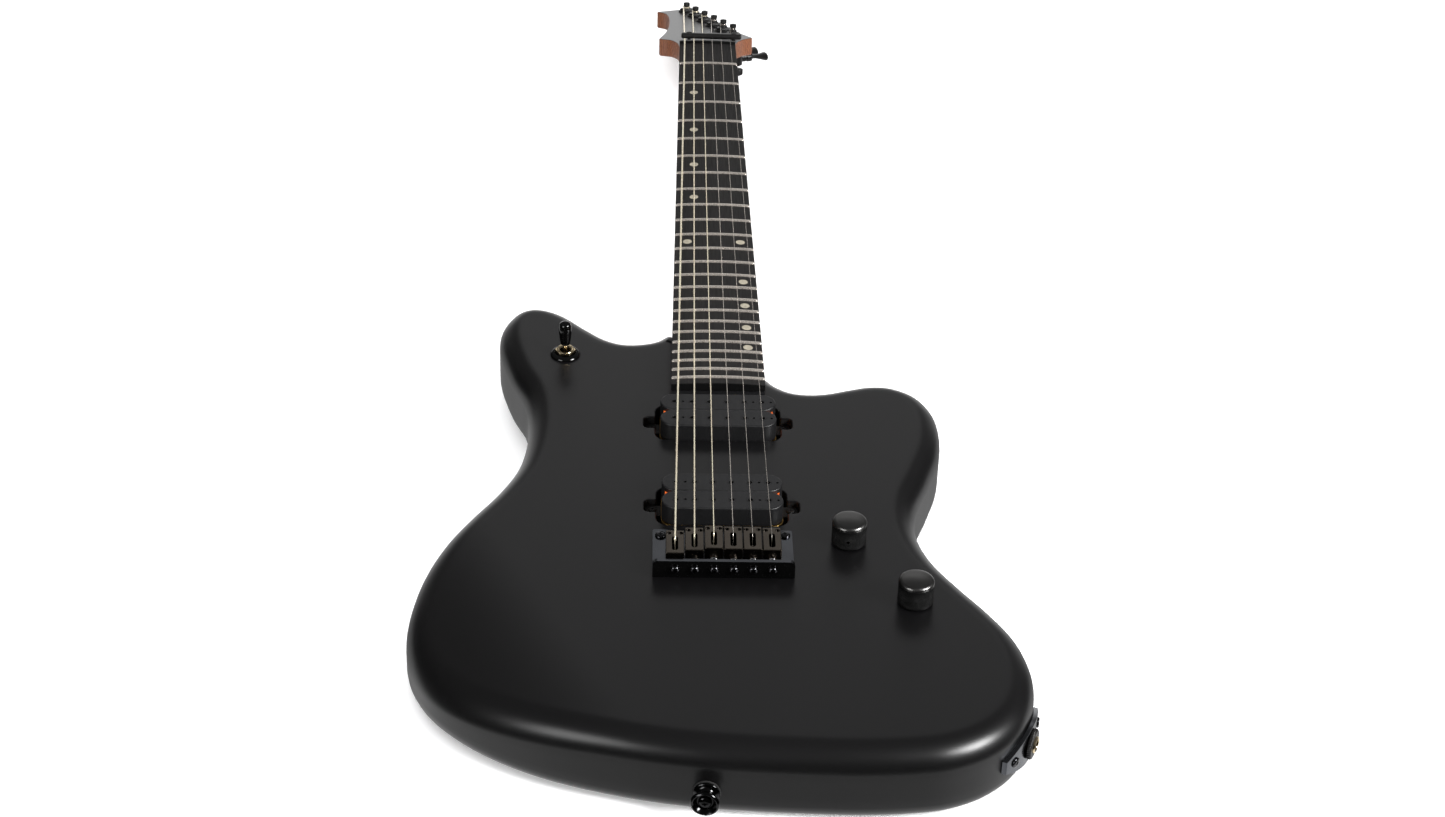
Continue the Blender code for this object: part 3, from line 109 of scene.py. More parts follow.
# Pickups and controls
PICKUPS = {"bridge": (Vector((0.3, 38)), 55.9), "neck": (Vector((-0.5, 126.3)), 54.6)}
BOBBIN_LENGTH = 69.6
BOBBIN_WIDTH = 17.6
BOBBIN_HEIGHT = 12
KNURL_LEAN = 1.15
ROOM_ROOF = 38.5
COVER_STEP = 2.3
TOGGLE_FOOT = 52.9
TOGGLE_TOP = 68.8
KNOBS = {"volume": Vector((71.3, 4.3)), "tone": Vector((104.5, -51.2))}
CAVITY_END = Vector((122, -105))
SWITCH_AT = Vector((-94.8, 203.5))
JACK_AT = Vector((157.2, -140.4))
JACK_LEVEL = 20.5
STRAP_LEVEL = 16.8
STRAPS = {"tail": Vector((-10.5, -177.3)), "horn": Vector((-121, 266.9))}
NECK_BOLTS = [(-16, 164), (16, 164), (16, 178), (-16, 204)]

# Camera and stage, in metres and degrees; the camera was fitted to the frets
CAMERA_LENS = 65.63
CAMERA_PLACE = (-0.045555, -1.207735, 0.90617)
CAMERA_ANGLES = (57.47708, -1.56386, -1.04496)
STAGE_MIDDLE = Vector((0, -0.1, 0.04))
TAIL_EDGE = Vector((0, -0.172, 0))
WHEEL_BACK = -30.9

# Body outline through these points, anticlockwise seen from the front
BODY_OUTLINE = [(-33, 236), (-41, 228.7), (-56.1, 225.6), (-66.8, 230), (-80, 242.6),
    (-95.1, 258.9), (-107, 266.4), (-118.5, 267.9), (-128.4, 262.8), (-136.4, 246.5),
    (-137.2, 227), (-128.6, 189.5), (-118.3, 161), (-114.8, 128.3), (-119, 88.1), (-129.9, 59),
    (-144, 33.2), (-157.1, 8.5), (-166.1, -14.7), (-171.1, -36), (-173.2, -58), (-170.8, -80),
    (-163.9, -98.4), (-151.5, -116.4), (-129.8, -136), (-97, -154.9), (-55.5, -169),
    (-18.6, -176.5), (14.1, -179.7), (45.9, -181.4), (68.8, -181.8), (92.4, -180.5),
    (114.4, -176.7), (135.4, -166.5), (151.5, -150.3), (160.2, -132.5), (163.7, -112.7),
    (162.8, -94.6), (157.9, -75), (147.2, -53.4), (133.5, -31), (120, -6.2), (112.6, 20),
    (113.2, 46), (124, 79), (132, 106), (134.6, 131), (132.5, 151.1), (123.9, 167.9), (108.4, 178),
    (93.4, 179), (79.6, 175.1), (65.8, 170.3), (54.9, 169.2), (45.8, 171.5), (38, 178), (30, 189),
    (0, 213), (-26, 236)]

# Headstock outline on its own face, (across, along) from the nut; a corner ends each run
HEAD_RUNS = [
    [(21.6, -4), (22.2, 12), (24.2, 24), (28.8, 35.6), (36.2, 44)],
    [(36.6, 46.4), (31.5, 57.5), (27, 68.5), (20.6, 90), (11.6, 120), (2.6, 150), (-3.4, 170),
     (-7.2, 186.4)],
    [(-10, 187.2), (-20, 180.5), (-38.9, 167)],
    [(-37.6, 164.6), (-32.2, 158.5), (-29.6, 146), (-28.6, 128), (-28.8, 100), (-30.7, 75),
     (-33.1, 56), (-35.9, 41), (-37.2, 33)],
    [(-35.5, 31.2), (-29, 28.5), (-24.6, 20), (-22.2, 10), (-21.6, -4)]]


# ---------------------------------------------------------------- materials

def link(tree, source, output, target, socket):
    tree.links.new(source.outputs[output], target.inputs[socket])


def spread_colour(colour, factor):
    return (*(min(channel * factor, 1) for channel in colour), 1)


def even(value):
    """The same value three times, for a grey or an even scale."""
    return (value, value, value)


def coordinates(tree, scale):
    """Object coordinates times a scale, so a pattern keeps its real size on every piece."""
    place = tree.nodes.new("ShaderNodeTexCoord")
    mapping = tree.nodes.new("ShaderNodeMapping")
    mapping.inputs["Scale"].default_value = scale
    link(tree, place, "Object", mapping, "Vector")
    return mapping


def noise(tree, scale, detail=4):
    texture = tree.nodes.new("ShaderNodeTexNoise")
    texture.inputs["Scale"].default_value = 1
    texture.inputs["Detail"].default_value = detail
    link(tree, coordinates(tree, scale), "Vector", texture, "Vector")
    return texture


def ramp(tree, source, output, stops):
    node = tree.nodes.new("ShaderNodeValToRGB")
    node.color_ramp.elements[0].position = stops[0][0]
    node.color_ramp.elements[0].color = stops[0][1]
    node.color_ramp.elements[1].position = stops[-1][0]
    node.color_ramp.elements[1].color = stops[-1][1]
    for position, colour in stops[1:-1]:
        node.color_ramp.elements.new(position).color = colour
    link(tree, source, output, node, "Fac")
    return node


def start_material(name, **values):
    """A new material with uniform values on its shader. Gives it, its tree and its shader."""
    material = bpy.data.materials.new(name)
    material.use_nodes = True
    shader = material.node_tree.nodes["Principled BSDF"]
    for socket, value in values.items():
        shader.inputs[socket.replace("_", " ")].default_value = value
    return material, material.node_tree, shader


def set_gloss(tree, shader, source, low, high, at_low, at_high):
    """Roughness that follows a pattern between two values."""
    gloss = tree.nodes.new("ShaderNodeMapRange")
    for name, value in (("From Min", low), ("From Max", high), ("To Min", at_low),
            ("To Max", at_high)):
        gloss.inputs[name].default_value = value
    link(tree, source, "Fac", gloss, "Value")
    link(tree, gloss, "Result", shader, "Roughness")


def set_relief(tree, shader, source, strength, distance):
    relief = tree.nodes.new("ShaderNodeBump")
    relief.inputs["Strength"].default_value = strength
    relief.inputs["Distance"].default_value = distance
    link(tree, source, "Fac", relief, "Height")
    link(tree, relief, "Normal", shader, "Normal")


def surface(name, colour, roughness, metallic=0, tint=0.12, cloud=even(60), rough_spread=0.04,
        grain=even(3200), bump=0.1, depth=0.01 * MM):
    """A finish with slow drifts of tone and gloss and a fine bump, both at real size."""
    material, tree, shader = start_material(name, Metallic=metallic)
    drift = noise(tree, cloud)
    tone = ramp(tree, drift, "Fac", [(0.3, spread_colour(colour, 1 - tint)),
        (0.7, spread_colour(colour, 1 + tint))])
    link(tree, tone, "Color", shader, "Base Color")
    fine = noise(tree, grain, 3)
    set_gloss(tree, shader, fine, 0.3, 0.7, roughness - rough_spread, roughness + rough_spread)
    set_relief(tree, shader, fine, bump, depth)
    return material


def wood(name, dark, light, roughness, stretch, bands, pore_depth, coat=0):
    """Wood with growth bands along Y, drifting tone and long fine pores."""
    material, tree, shader = start_material(name, Coat_Weight=coat, Coat_Roughness=0.35)
    figure = tree.nodes.new("ShaderNodeTexWave")
    figure.inputs["Scale"].default_value = 1
    figure.inputs["Distortion"].default_value = 9
    figure.inputs["Detail"].default_value = 4
    figure.inputs["Detail Scale"].default_value = 1.4
    link(tree, coordinates(tree, (bands, stretch, bands)), "Vector", figure, "Vector")
    tone = ramp(tree, figure, "Fac", [(0, (*dark, 1)), (0.55, (*light, 1)),
        (1, spread_colour(light, 1.25))])
    link(tree, tone, "Color", shader, "Base Color")
    pores = noise(tree, (1400, 60, 1400), 5)
    set_gloss(tree, shader, pores, 0.35, 0.6, roughness + 0.12, roughness)
    set_relief(tree, shader, pores, 0.5, pore_depth)
    return material


def wound_wire(name, colour, roughness):
    """Metal with close windings across the length of the string."""
    material = surface(name, colour, roughness, 0.72, 0.1, (300, 20, 300), 0.05)
    tree = material.node_tree
    windings = tree.nodes.new("ShaderNodeTexWave")
    windings.bands_direction = "Y"
    windings.inputs["Scale"].default_value = 1
    link(tree, coordinates(tree, (1, 1000, 1)), "Vector", windings, "Vector")
    set_relief(tree, tree.nodes["Principled BSDF"], windings, 0.3, 0.03 * MM)
    return material


LACQUER = surface("satin_lacquer", (0.0026, 0.0025, 0.0027), 0.33, tint=0.06, cloud=even(9),
    rough_spread=0.02, grain=even(2600), bump=0.12, depth=0.015 * MM)
# The head's face lacquer; the same dark grey is also laid on the neck's heel end as painted shade.
FACE_LACQUER_AND_HEEL_SHADE = surface("head_lacquer_and_heel_shade", (0.012, 0.012, 0.013), 0.3, tint=0.06, rough_spread=0.03,
    grain=even(2600), bump=0.1, depth=0.012 * MM)
# Near-black inside the pickup routs: the rout's own black, darkened further as painted shade.
ROUT_PAINT_AND_SHADE = surface("rout_paint_and_shade", even(0.002), 0.7, bump=0.3, depth=0.05 * MM)
NECK_WOOD = wood("neck_wood_oiled", (0.105, 0.034, 0.0145), (0.19, 0.067, 0.029), 0.42, 9, 260,
    0.04 * MM, 0.1)
BOARD_WOOD = wood("board_wood", (0.003, 0.0028, 0.0028), (0.006, 0.0055, 0.0054), 0.56, 14, 420,
    0.04 * MM)
BLACK_METAL = surface("black_chrome", (0.075, 0.075, 0.08), 0.16, 1, bump=0.08)
BLACK_CAST = surface("black_casting", (0.02, 0.0195, 0.0195), 0.34, 0.6, bump=0.15)
BRIDGE_BLACK = surface("bridge_black", (0.125, 0.13, 0.142), 0.2, 1, bump=0.06)
SADDLE_BLACK = surface("saddle_bronze_black", (0.125, 0.107, 0.088), 0.22, 1, bump=0.06)
KNOB_BLACK = surface("knob_black", (0.15, 0.148, 0.145), 0.31, 1, bump=0.12)
# Knurled side of the knobs: a much darker copy of the knob's black, painted shade on the side.
KNURL_SHADE = surface("knurl_painted_shade", even(0.008), 0.5, 0.6, bump=0.1)
# Gloss black of the toggle; also laid on the bridge wall's rear face as painted shade.
GLOSS_BLACK_AND_WALL_SHADE = surface("gloss_black_and_wall_shade", even(0.0015), 0.07, rough_spread=0.02, bump=0.01)
# Pickup ears and their screws: their own black, darkened further as painted shade of the rout.
EAR_BLACK_AND_SHADE = surface("ear_black_and_rout_shade", even(0.001), 0.62, bump=0.1)
SATIN_BLACK = surface("satin_black", (0.012, 0.0115, 0.0115), 0.36, 0.4, bump=0.15)
STRAP_BLACK = surface("strap_black", (0.035, 0.035, 0.036), 0.14, 1, bump=0.05)
# Black of the nut; also laid on the fretboard's end face as painted shade.
NUT_BLACK_AND_END_SHADE = surface("nut_black_and_end_shade", even(0.004), 0.34, bump=0.15)
BOBBIN_BLACK = surface("bobbin_black", (0.0065, 0.0065, 0.007), 0.46, bump=0.2, depth=0.02 * MM)
ORANGE_TAPE = surface("orange_tape", (0.6, 0.1, 0.008), 0.65, bump=0.3, depth=0.05 * MM)
GOLD = surface("gold_plating", (0.82, 0.68, 0.45), 0.18, 1, tint=0.06, bump=0.1)
BRASS = surface("brass_sheet", (0.5, 0.31, 0.1), 0.32, 1, bump=0.2)
POLE_STEEL = surface("pole_black", (0.05, 0.05, 0.052), 0.3, 0.9, bump=0.15)
FRET_METAL = surface("fret_metal", (0.82, 0.75, 0.68), 0.28, 0.87, tint=0.06, bump=0.08)
STEEL = surface("bare_steel", (0.5, 0.5, 0.51), 0.32, 1, bump=0.15)
INLAY = surface("cream_inlay", (0.27, 0.245, 0.19), 0.3, tint=0.16, cloud=even(420), bump=0.1)
WOUND = wound_wire("wound_string", (1, 0.86, 0.66), 0.26)
PLAIN = surface("plain_string", (0.74, 0.68, 0.62), 0.24, 0.85, tint=0.05, bump=0.05)
FELT = surface("felt_black", even(0.012), 0.95, bump=1, depth=0.2 * MM)
COVER_BLACK = surface("cover_black", even(0.013), 0.48, bump=0.6, depth=0.06 * MM,
    grain=even(1500))


# ------------------------------------------------------------- mesh helpers

def new_object(name, build, matrix=None):
    """A mesh object from a bmesh, with all faces turned outwards."""
    bmesh.ops.recalc_face_normals(build, faces=build.faces)
    mesh = bpy.data.meshes.new(name)
    build.to_mesh(mesh)
    build.free()
    obj = bpy.data.objects.new(name, mesh)
    bpy.context.scene.collection.objects.link(obj)
    if matrix is not None:
        mesh.transform(matrix)
    return obj


def shift(x, y, z=0):
    return Matrix.Translation((x, y, z))


def spin(degrees, axis):
    return Matrix.Rotation(math.radians(degrees), 4, axis)


def ring_at(radius, z, steps):
    """Points round the Z axis at one level."""
    return [(radius * math.cos(2 * math.pi * k / steps),
        radius * math.sin(2 * math.pi * k / steps), z) for k in range(steps)]


def remove(obj):
    bpy.data.objects.remove(obj, do_unlink=True)


def settle(obj):
    """Apply an object's modifiers to its mesh."""
    bpy.context.view_layer.update()
    depsgraph = bpy.context.evaluated_depsgraph_get()
    mesh = bpy.data.meshes.new_from_object(obj.evaluated_get(depsgraph))
    obj.modifiers.clear()
    obj.data = mesh
    return obj


def boolean(target, others, operation):
    for other in others:
        modifier = target.modifiers.new("boolean", "BOOLEAN")
        modifier.operation = operation
        modifier.solver = "EXACT"
        modifier.object = other
    settle(target)
    for other in others:
        remove(other)
    return target


def cut(target, *others):
    return boolean(target, others, "DIFFERENCE")


def join(target, *others):
    return boolean(target, others, "UNION")


def gather(name, objects):
    """Put the meshes of several objects into one object."""
    build = bmesh.new()
    for obj in objects:
        build.from_mesh(obj.data)
        remove(obj)
    return new_object(name, build)


def ease(obj, width, angle=30, segments=2):
    """Small rounded edges, so that each corner catches the light."""
    bevel = obj.modifiers.new("bevel", "BEVEL")
    bevel.width = width
    bevel.segments = segments
    bevel.limit_method = "ANGLE"
    bevel.angle_limit = math.radians(angle)
    bevel.use_clamp_overlap = True
    bevel.miter_outer = "MITER_ARC"
    settle(obj)
    return obj


def dress(obj, material, body="guitar", nodes=(), smooth=32):
    """Shade, colour and hang a finished piece on its body."""
    obj.data.transform(Matrix.Scale(MM, 4))
    obj.data.materials.clear()
    obj.data.materials.append(material)
    obj.data.shade_smooth()
    obj.data.set_sharp_from_angle(angle=math.radians(smooth))
    weigh = obj.modifiers.new("weighted_normals", "WEIGHTED_NORMAL")
    weigh.keep_sharp = True
    settle(obj)
    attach(obj, body)
    if nodes:
        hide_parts(*nodes)
    return obj


def paint(obj, material, chosen):
    """Give the faces that pass a test of their centre and normal their own material."""
    obj.data.materials.append(material)
    for face in obj.data.polygons:
        if chosen(face.center / MM, face.normal):
            face.material_index = 1


def slab(name, outline, low, high, matrix=None):
    """A flat outline between two levels."""
    build = bmesh.new()
    bottom = [build.verts.new((x, y, low)) for x, y in outline]
    top = [build.verts.new((x, y, high)) for x, y in outline]
    count = len(outline)
    for i in range(count):
        j = (i + 1) % count
        build.faces.new((bottom[i], bottom[j], top[j], top[i]))
    build.faces.new(list(reversed(bottom)))
    build.faces.new(top)
    return new_object(name, build, matrix)


def turned(name, profile, steps=48, closed=False, matrix=None):
    """A turned shape about Z. The profile is (radius, height); it may start or end on the axis."""
    build = bmesh.new()
    rings = []
    for radius, height in profile:
        if radius < 1e-7:
            rings.append([build.verts.new((0, 0, height))])
            continue
        rings.append([build.verts.new(point) for point in ring_at(radius, height, steps)])
    pairs = list(zip(rings, rings[1:]))
    if closed:
        pairs.append((rings[-1], rings[0]))
    for first, second in pairs:
        bridge(build, first, second)
    return new_object(name, build, matrix)


def bridge(build, first, second):
    """Faces between two closed rings, either of which may be a single point."""
    count = max(len(first), len(second))
    for k in range(count):
        n = (k + 1) % count
        if len(first) == 1:
            build.faces.new((first[0], second[k], second[n]))
        elif len(second) == 1:
            build.faces.new((first[k], second[0], first[n]))
        else:
            build.faces.new((first[k], second[k], second[n], first[n]))


def loft(name, rings, matrix=None):
    """Close a row of equal rings into one solid. The last may be a single point."""
    build = bmesh.new()
    built = [[build.verts.new(point) for point in ring] for ring in rings]
    for first, second in zip(built, built[1:]):
        bridge(build, first, second)
    for end in (built[0], built[-1]):
        if len(end) > 1:
            build.faces.new(end)
    return new_object(name, build, matrix)


def rod_matrix(start, end):
    along = Vector(end) - Vector(start)
    turn = along.to_track_quat("Z", "Y").to_matrix().to_4x4()
    return Matrix.Translation(Vector(start)) @ turn, along.length


def rod(name, start, end, radius, steps=32):
    matrix, length = rod_matrix(start, end)
    return peg(name, radius, 0, length, steps, matrix)


def drill(x, y, low, high, radius, steps=32):
    """An upright rod, mostly to cut a hole with."""
    return peg("upright", radius, low, high, steps, shift(x, y))


def peg(name, radius, low, high, steps=48, matrix=None):
    return turned(name, [(0, low), (radius, low), (radius, high), (0, high)], steps, matrix=matrix)


def prism(name, corners, radius, low, high):
    """A regular prism, such as a hexagon nut, by its corner radius."""
    outline = arc((0, 0), radius, 0, 360 - 360 / corners, corners - 1)
    return slab(name, outline, low, high)


def arc(centre, radius, start, end, steps):
    """Points on an arc, angles in degrees."""
    points = []
    for k in range(steps + 1):
        angle = math.radians(start + (end - start) * k / steps)
        points.append((centre[0] + radius * math.cos(angle), centre[1] + radius * math.sin(angle)))
    return points


def stadium(start, end, radius, steps=20):
    """A long round-ended outline around the line from start to end."""
    heading = math.degrees(math.atan2(end[1] - start[1], end[0] - start[0]))
    first = arc(end, radius, heading - 90, heading + 90, steps)
    second = arc(start, radius, heading + 90, heading + 270, steps)
    return first + second


def round_box(x0, y0, x1, y1, radius, steps=6):
    outline = arc((x1 - radius, y1 - radius), radius, 0, 90, steps)
    outline += arc((x0 + radius, y1 - radius), radius, 90, 180, steps)
    outline += arc((x0 + radius, y0 + radius), radius, 180, 270, steps)
    outline += arc((x1 - radius, y0 + radius), radius, 270, 360, steps)
    return outline


def centripetal(p0, p1, p2, p3, part):
    """A point between p1 and p2 on the centripetal curve through four points."""
    t0 = 0
    t1 = t0 + (p1 - p0).length ** 0.5
    t2 = t1 + (p2 - p1).length ** 0.5
    t3 = t2 + (p3 - p2).length ** 0.5
    t = t1 + (t2 - t1) * part
    a1 = p0 * ((t1 - t) / (t1 - t0)) + p1 * ((t - t0) / (t1 - t0))
    a2 = p1 * ((t2 - t) / (t2 - t1)) + p2 * ((t - t1) / (t2 - t1))
    a3 = p2 * ((t3 - t) / (t3 - t2)) + p3 * ((t - t2) / (t3 - t2))
    b1 = a1 * ((t2 - t) / (t2 - t0)) + a2 * ((t - t0) / (t2 - t0))
    b2 = a2 * ((t3 - t) / (t3 - t1)) + a3 * ((t - t1) / (t3 - t1))
    return b1 * ((t2 - t) / (t2 - t1)) + b2 * ((t - t1) / (t2 - t1))


def resample(points, samples, closed):
    """Points evenly spaced along a polyline."""
    line = list(points) + ([points[0]] if closed else [])
    lengths = [0]
    for first, second in zip(line, line[1:]):
        lengths.append(lengths[-1] + (second - first).length)
    result = []
    index = 0
    last = samples if closed else samples - 1
    for k in range(samples):
        wanted = lengths[-1] * k / last
        while index < len(lengths) - 2 and lengths[index + 1] < wanted:
            index += 1
        share = (wanted - lengths[index]) / (lengths[index + 1] - lengths[index])
        result.append(line[index].lerp(line[index + 1], share))
    return result


def smooth_loop(points, samples):
    """A closed centripetal curve through the points, sampled evenly along its length."""
    count = len(points)
    dense = []
    for i in range(count):
        corners = [Vector(points[(i + k - 1) % count]) for k in range(4)]
        dense += [centripetal(*corners, step / 12) for step in range(12)]
    return resample(dense, samples, True)


def smooth_run(points, steps=10):
    """An open centripetal curve through the points."""
    padded = [points[0] * 2 - points[1]] + list(points) + [points[-1] * 2 - points[-2]]
    dense = []
    for i in range(len(points) - 1):
        dense += [centripetal(*padded[i:i + 4], step / steps) for step in range(steps)]
    return dense + [points[-1]]


def curved(points, steps):
    """A smooth profile through points, as (radius, height) pairs."""
    return [(p.x, p.y) for p in smooth_run([Vector(point) for point in points], steps)]


def outward_normals(loop):
    """Unit normals of an anticlockwise loop, pointing away from its inside."""
    count = len(loop)
    normals = []
    for i in range(count):
        tangent = (loop[(i + 1) % count] - loop[i - 1]).normalized()
        normals.append(Vector((tangent.y, -tangent.x)))
    return normals


def quarter(radius, steps):
    """Steps of a quarter round: (inset, rise) pairs, from the flat face to the side."""
    angles = [math.pi / 2 * k / steps for k in range(steps + 1)]
    return [(radius * (1 - math.sin(a)), radius * (1 - math.cos(a))) for a in angles]


def rounded_slab(name, loop, low, high, top_round, back_round, matrix=None):
    """A slab whose top and back edges are quarter rounds, offset along the loop's normals."""
    normals = outward_normals(loop)
    levels = [(inset, low + rise) for inset, rise in quarter(back_round, 4)]
    levels += [(inset, high - rise) for inset, rise in reversed(quarter(top_round, 4))]
    rings = []
    for inset, z in levels:
        rings.append([(p.x - n.x * inset, p.y - n.y * inset, z) for p, n in zip(loop, normals)])
    return loft(name, rings, matrix)


# ----------------------------------------------------------------- geometry

def board_half_width(y):
    last_fret = SCALE_LENGTH * 2 ** (-24 / 12)
    share = (SCALE_LENGTH - y) / (SCALE_LENGTH - last_fret)
    return NUT_HALF_WIDTH + (LAST_FRET_HALF_WIDTH - NUT_HALF_WIDTH) * share


def crown_drop(x):
    return x * x / (2 * BOARD_RADIUS)


def forearm_cut(x, y):
    depth = (Vector((x, y)) - FOREARM_START).dot(FOREARM_OUTWARD)
    return depth * depth / (2 * FOREARM_RADIUS) if depth > 0 else 0


def belly_cut(x, y):
    across = (x - BELLY_CENTRE.x) / BELLY_REACH.x
    along = (y - BELLY_CENTRE.y) / BELLY_REACH.y
    reach = across * across + along * along
    return BELLY_DEPTH * (1 - reach) ** 2 if reach < 1 else 0


def body_level(x, y, z):
    """Move a level of the plain slab to where the two comfort contours put it."""
    low = BACK_ROUND
    high = BODY_TOP - TOP_ROUND
    share = min(max((z - low) / (high - low), 0), 1)
    return z - forearm_cut(x, y) * share + belly_cut(x, y) * (1 - share)


def saddle_x(index):
    return (index - 2.5) * BRIDGE_PITCH


def nut_x(index):
    return (index - 2.5) * NUT_PITCH


def string_at_saddle(index):
    return FRET_TOP + 3.2 - crown_drop(saddle_x(index))


def string_at_nut(index):
    return FRET_TOP + 0.5 - crown_drop(nut_x(index))


def tuner_at(index):
    return TUNER_FIRST + TUNER_STEP * (5 - index)


def post_top(index):
    return 9.6 - 1.8 * (5 - index) / 5


def tuner_matrix(index):
    at = tuner_at(index)
    return HEAD_MATRIX @ shift(at.x, at.y) @ Matrix.Rotation(TUNER_TURN, 4, "Z")


BODY_LOOP = smooth_loop([Vector(point) for point in BODY_OUTLINE], 420)
BODY_NORMALS = outward_normals(BODY_LOOP)


def side_matrix(at, level):
    """Frame on the side of the body: Z straight out, Y up, X along the side."""
    nearest = min(range(len(BODY_LOOP)), key=lambda i: (BODY_LOOP[i] - at).length)
    normal = BODY_NORMALS[nearest]
    out = Vector((normal.x, normal.y, 0))
    up = Vector((0, 0, 1))
    turn = Matrix((up.cross(out), up, out)).transposed().to_4x4()
    offset = (BODY_LOOP[nearest] - at).dot(normal)
    return shift(at.x + normal.x * offset, at.y + normal.y * offset, level) @ turn


# --------------------------------------------------------------------- body

def rout_outline(at):
    """Outline of a pickup rout: a close box round the bobbins and two ear pockets."""
    half, depth, reach, width = 37.6, 18.8, 44.7, 5.9
    quarter = arc((reach - 3, width - 3), 3, 0, 90, 8)
    quarter += arc((half + 1.2, width + 1.2), 1.2, 270, 180, 5)
    quarter += arc((half - 7, depth - 7), 7, 0, 90, 12)
    mirrored = [(-x, y) for x, y in reversed(quarter)]
    half_loop = quarter + mirrored
    points = half_loop + [(-x, -y) for x, y in half_loop]
    return [Vector((at.x + x, at.y + y)) for x, y in points]


def loop_mask(points, loop):
    """True for each point that lies inside the loop (numpy, even-odd rule)."""
    inside = np.zeros(len(points), bool)
    for a, b in zip(loop, loop[1:] + loop[:1]):
        crosses = (a.y > points[:, 1]) != (b.y > points[:, 1])
        if abs(b.y - a.y) > 1e-12:
            x = a.x + (points[:, 1] - a.y) * (b.x - a.x) / (b.y - a.y)
            inside ^= crosses & (points[:, 0] < x)
    return inside


def contour_grid(loop, holes, depth_at, step):
    """Points on a fine grid wherever a comfort contour bends the flat face."""
    xs = np.arange(min(p.x for p in loop), max(p.x for p in loop), step)
    ys = np.arange(min(p.y for p in loop), max(p.y for p in loop), step)
    points = np.array([(x, y) for x in xs for y in ys])
    margin = 0.6 * step
    near = np.array([any(depth_at(x + dx, y + dy) > 0 for dx in (-margin, margin)
        for dy in (-margin, margin)) for x, y in points])
    points = points[near]
    keep = loop_mask(points, loop)
    for hole in holes:
        keep &= ~loop_mask(points, hole)
    for ring in [loop] + holes:
        corners = np.array([(p.x, p.y) for p in ring])
        gaps = np.array([np.min(np.hypot(*(corners - point).T)) for point in points])
        keep &= gaps > margin
    return [Vector(point) for point in points[keep]]


def fill_face(build, ring, hole_rings, depth_at, z):
    """Close a face of the body between its ring and the holes in it."""
    rings = [ring] + hole_rings
    flat = [[Vector((v.co.x, v.co.y)) for v in r] for r in rings]
    known = [v for r in rings for v in r]
    edges = []
    start = 0
    for r in rings:
        edges += [(start + i, start + (i + 1) % len(r)) for i in range(len(r))]
        start += len(r)
    extra = contour_grid(flat[0], flat[1:], depth_at, 6)
    source = [p for r in flat for p in r] + extra
    points, _, faces, origins, _, _ = delaunay_2d_cdt(source, edges, [], 1, 1e-4)
    verts = []
    for point, sources in zip(points, origins):
        if sources and sources[0] < len(known):
            verts.append(known[sources[0]])
        else:
            verts.append(build.verts.new((point.x, point.y, body_level(point.x, point.y, z))))
    middles = np.array([(sum((points[i] for i in face), Vector((0, 0))) / len(face))[:]
        for face in faces])
    dropped = np.zeros(len(faces), bool)
    for hole in flat[1:]:
        dropped |= loop_mask(middles, hole)
    for face, drop in zip(faces, dropped):
        if not drop:
            build.faces.new([verts[i] for i in face])


def body_blank():
    """The contoured slab: rounded sides, faces with fine grids in the contours, pickup routs."""
    levels = [(BACK_ROUND + 2, 0)] + quarter(BACK_ROUND, 6) + [(0, z) for z in (15, 20.5, 26)]
    levels += [(inset, BODY_TOP - rise) for inset, rise in reversed(quarter(TOP_ROUND, 12))]
    levels.append((TOP_ROUND + 2, BODY_TOP))
    build = bmesh.new()
    rings = []
    for inset, z in levels:
        ring = []
        for point, normal in zip(BODY_LOOP, BODY_NORMALS):
            at = point - normal * inset
            ring.append(build.verts.new((at.x, at.y, body_level(at.x, at.y, z))))
        rings.append(ring)
    for first, second in zip(rings, rings[1:]):
        bridge(build, first, second)
    hole_rings = [rout_walls(build, rout_outline(at)) for at, _ in PICKUPS.values()]
    fill_face(build, rings[0], [], belly_cut, 0)
    fill_face(build, rings[-1], hole_rings, forearm_cut, BODY_TOP)
    return new_object("guitar_body", build)


def rout_walls(build, outline):
    """Rounded edge, walls and floor of a pickup rout. Gives the ring in the top face."""
    normals = outward_normals(outline)
    rings = []
    for out, drop in quarter(0.8, 3):
        rings.append([build.verts.new((p.x + n.x * out, p.y + n.y * out, BODY_TOP - drop))
            for p, n in zip(outline, normals)])
    rings.append([build.verts.new((p.x, p.y, 26)) for p in outline])
    for first, second in zip(rings, rings[1:]):
        bridge(build, first, second)
    build.faces.new(rings[-1])
    return rings[0]


def neck_plate_outline(margin):
    return [(-22 - margin, 158 - margin), (22 + margin, 158 - margin), (22 + margin, 182 + margin),
        (-22 - margin, 217 + 2 * margin)]


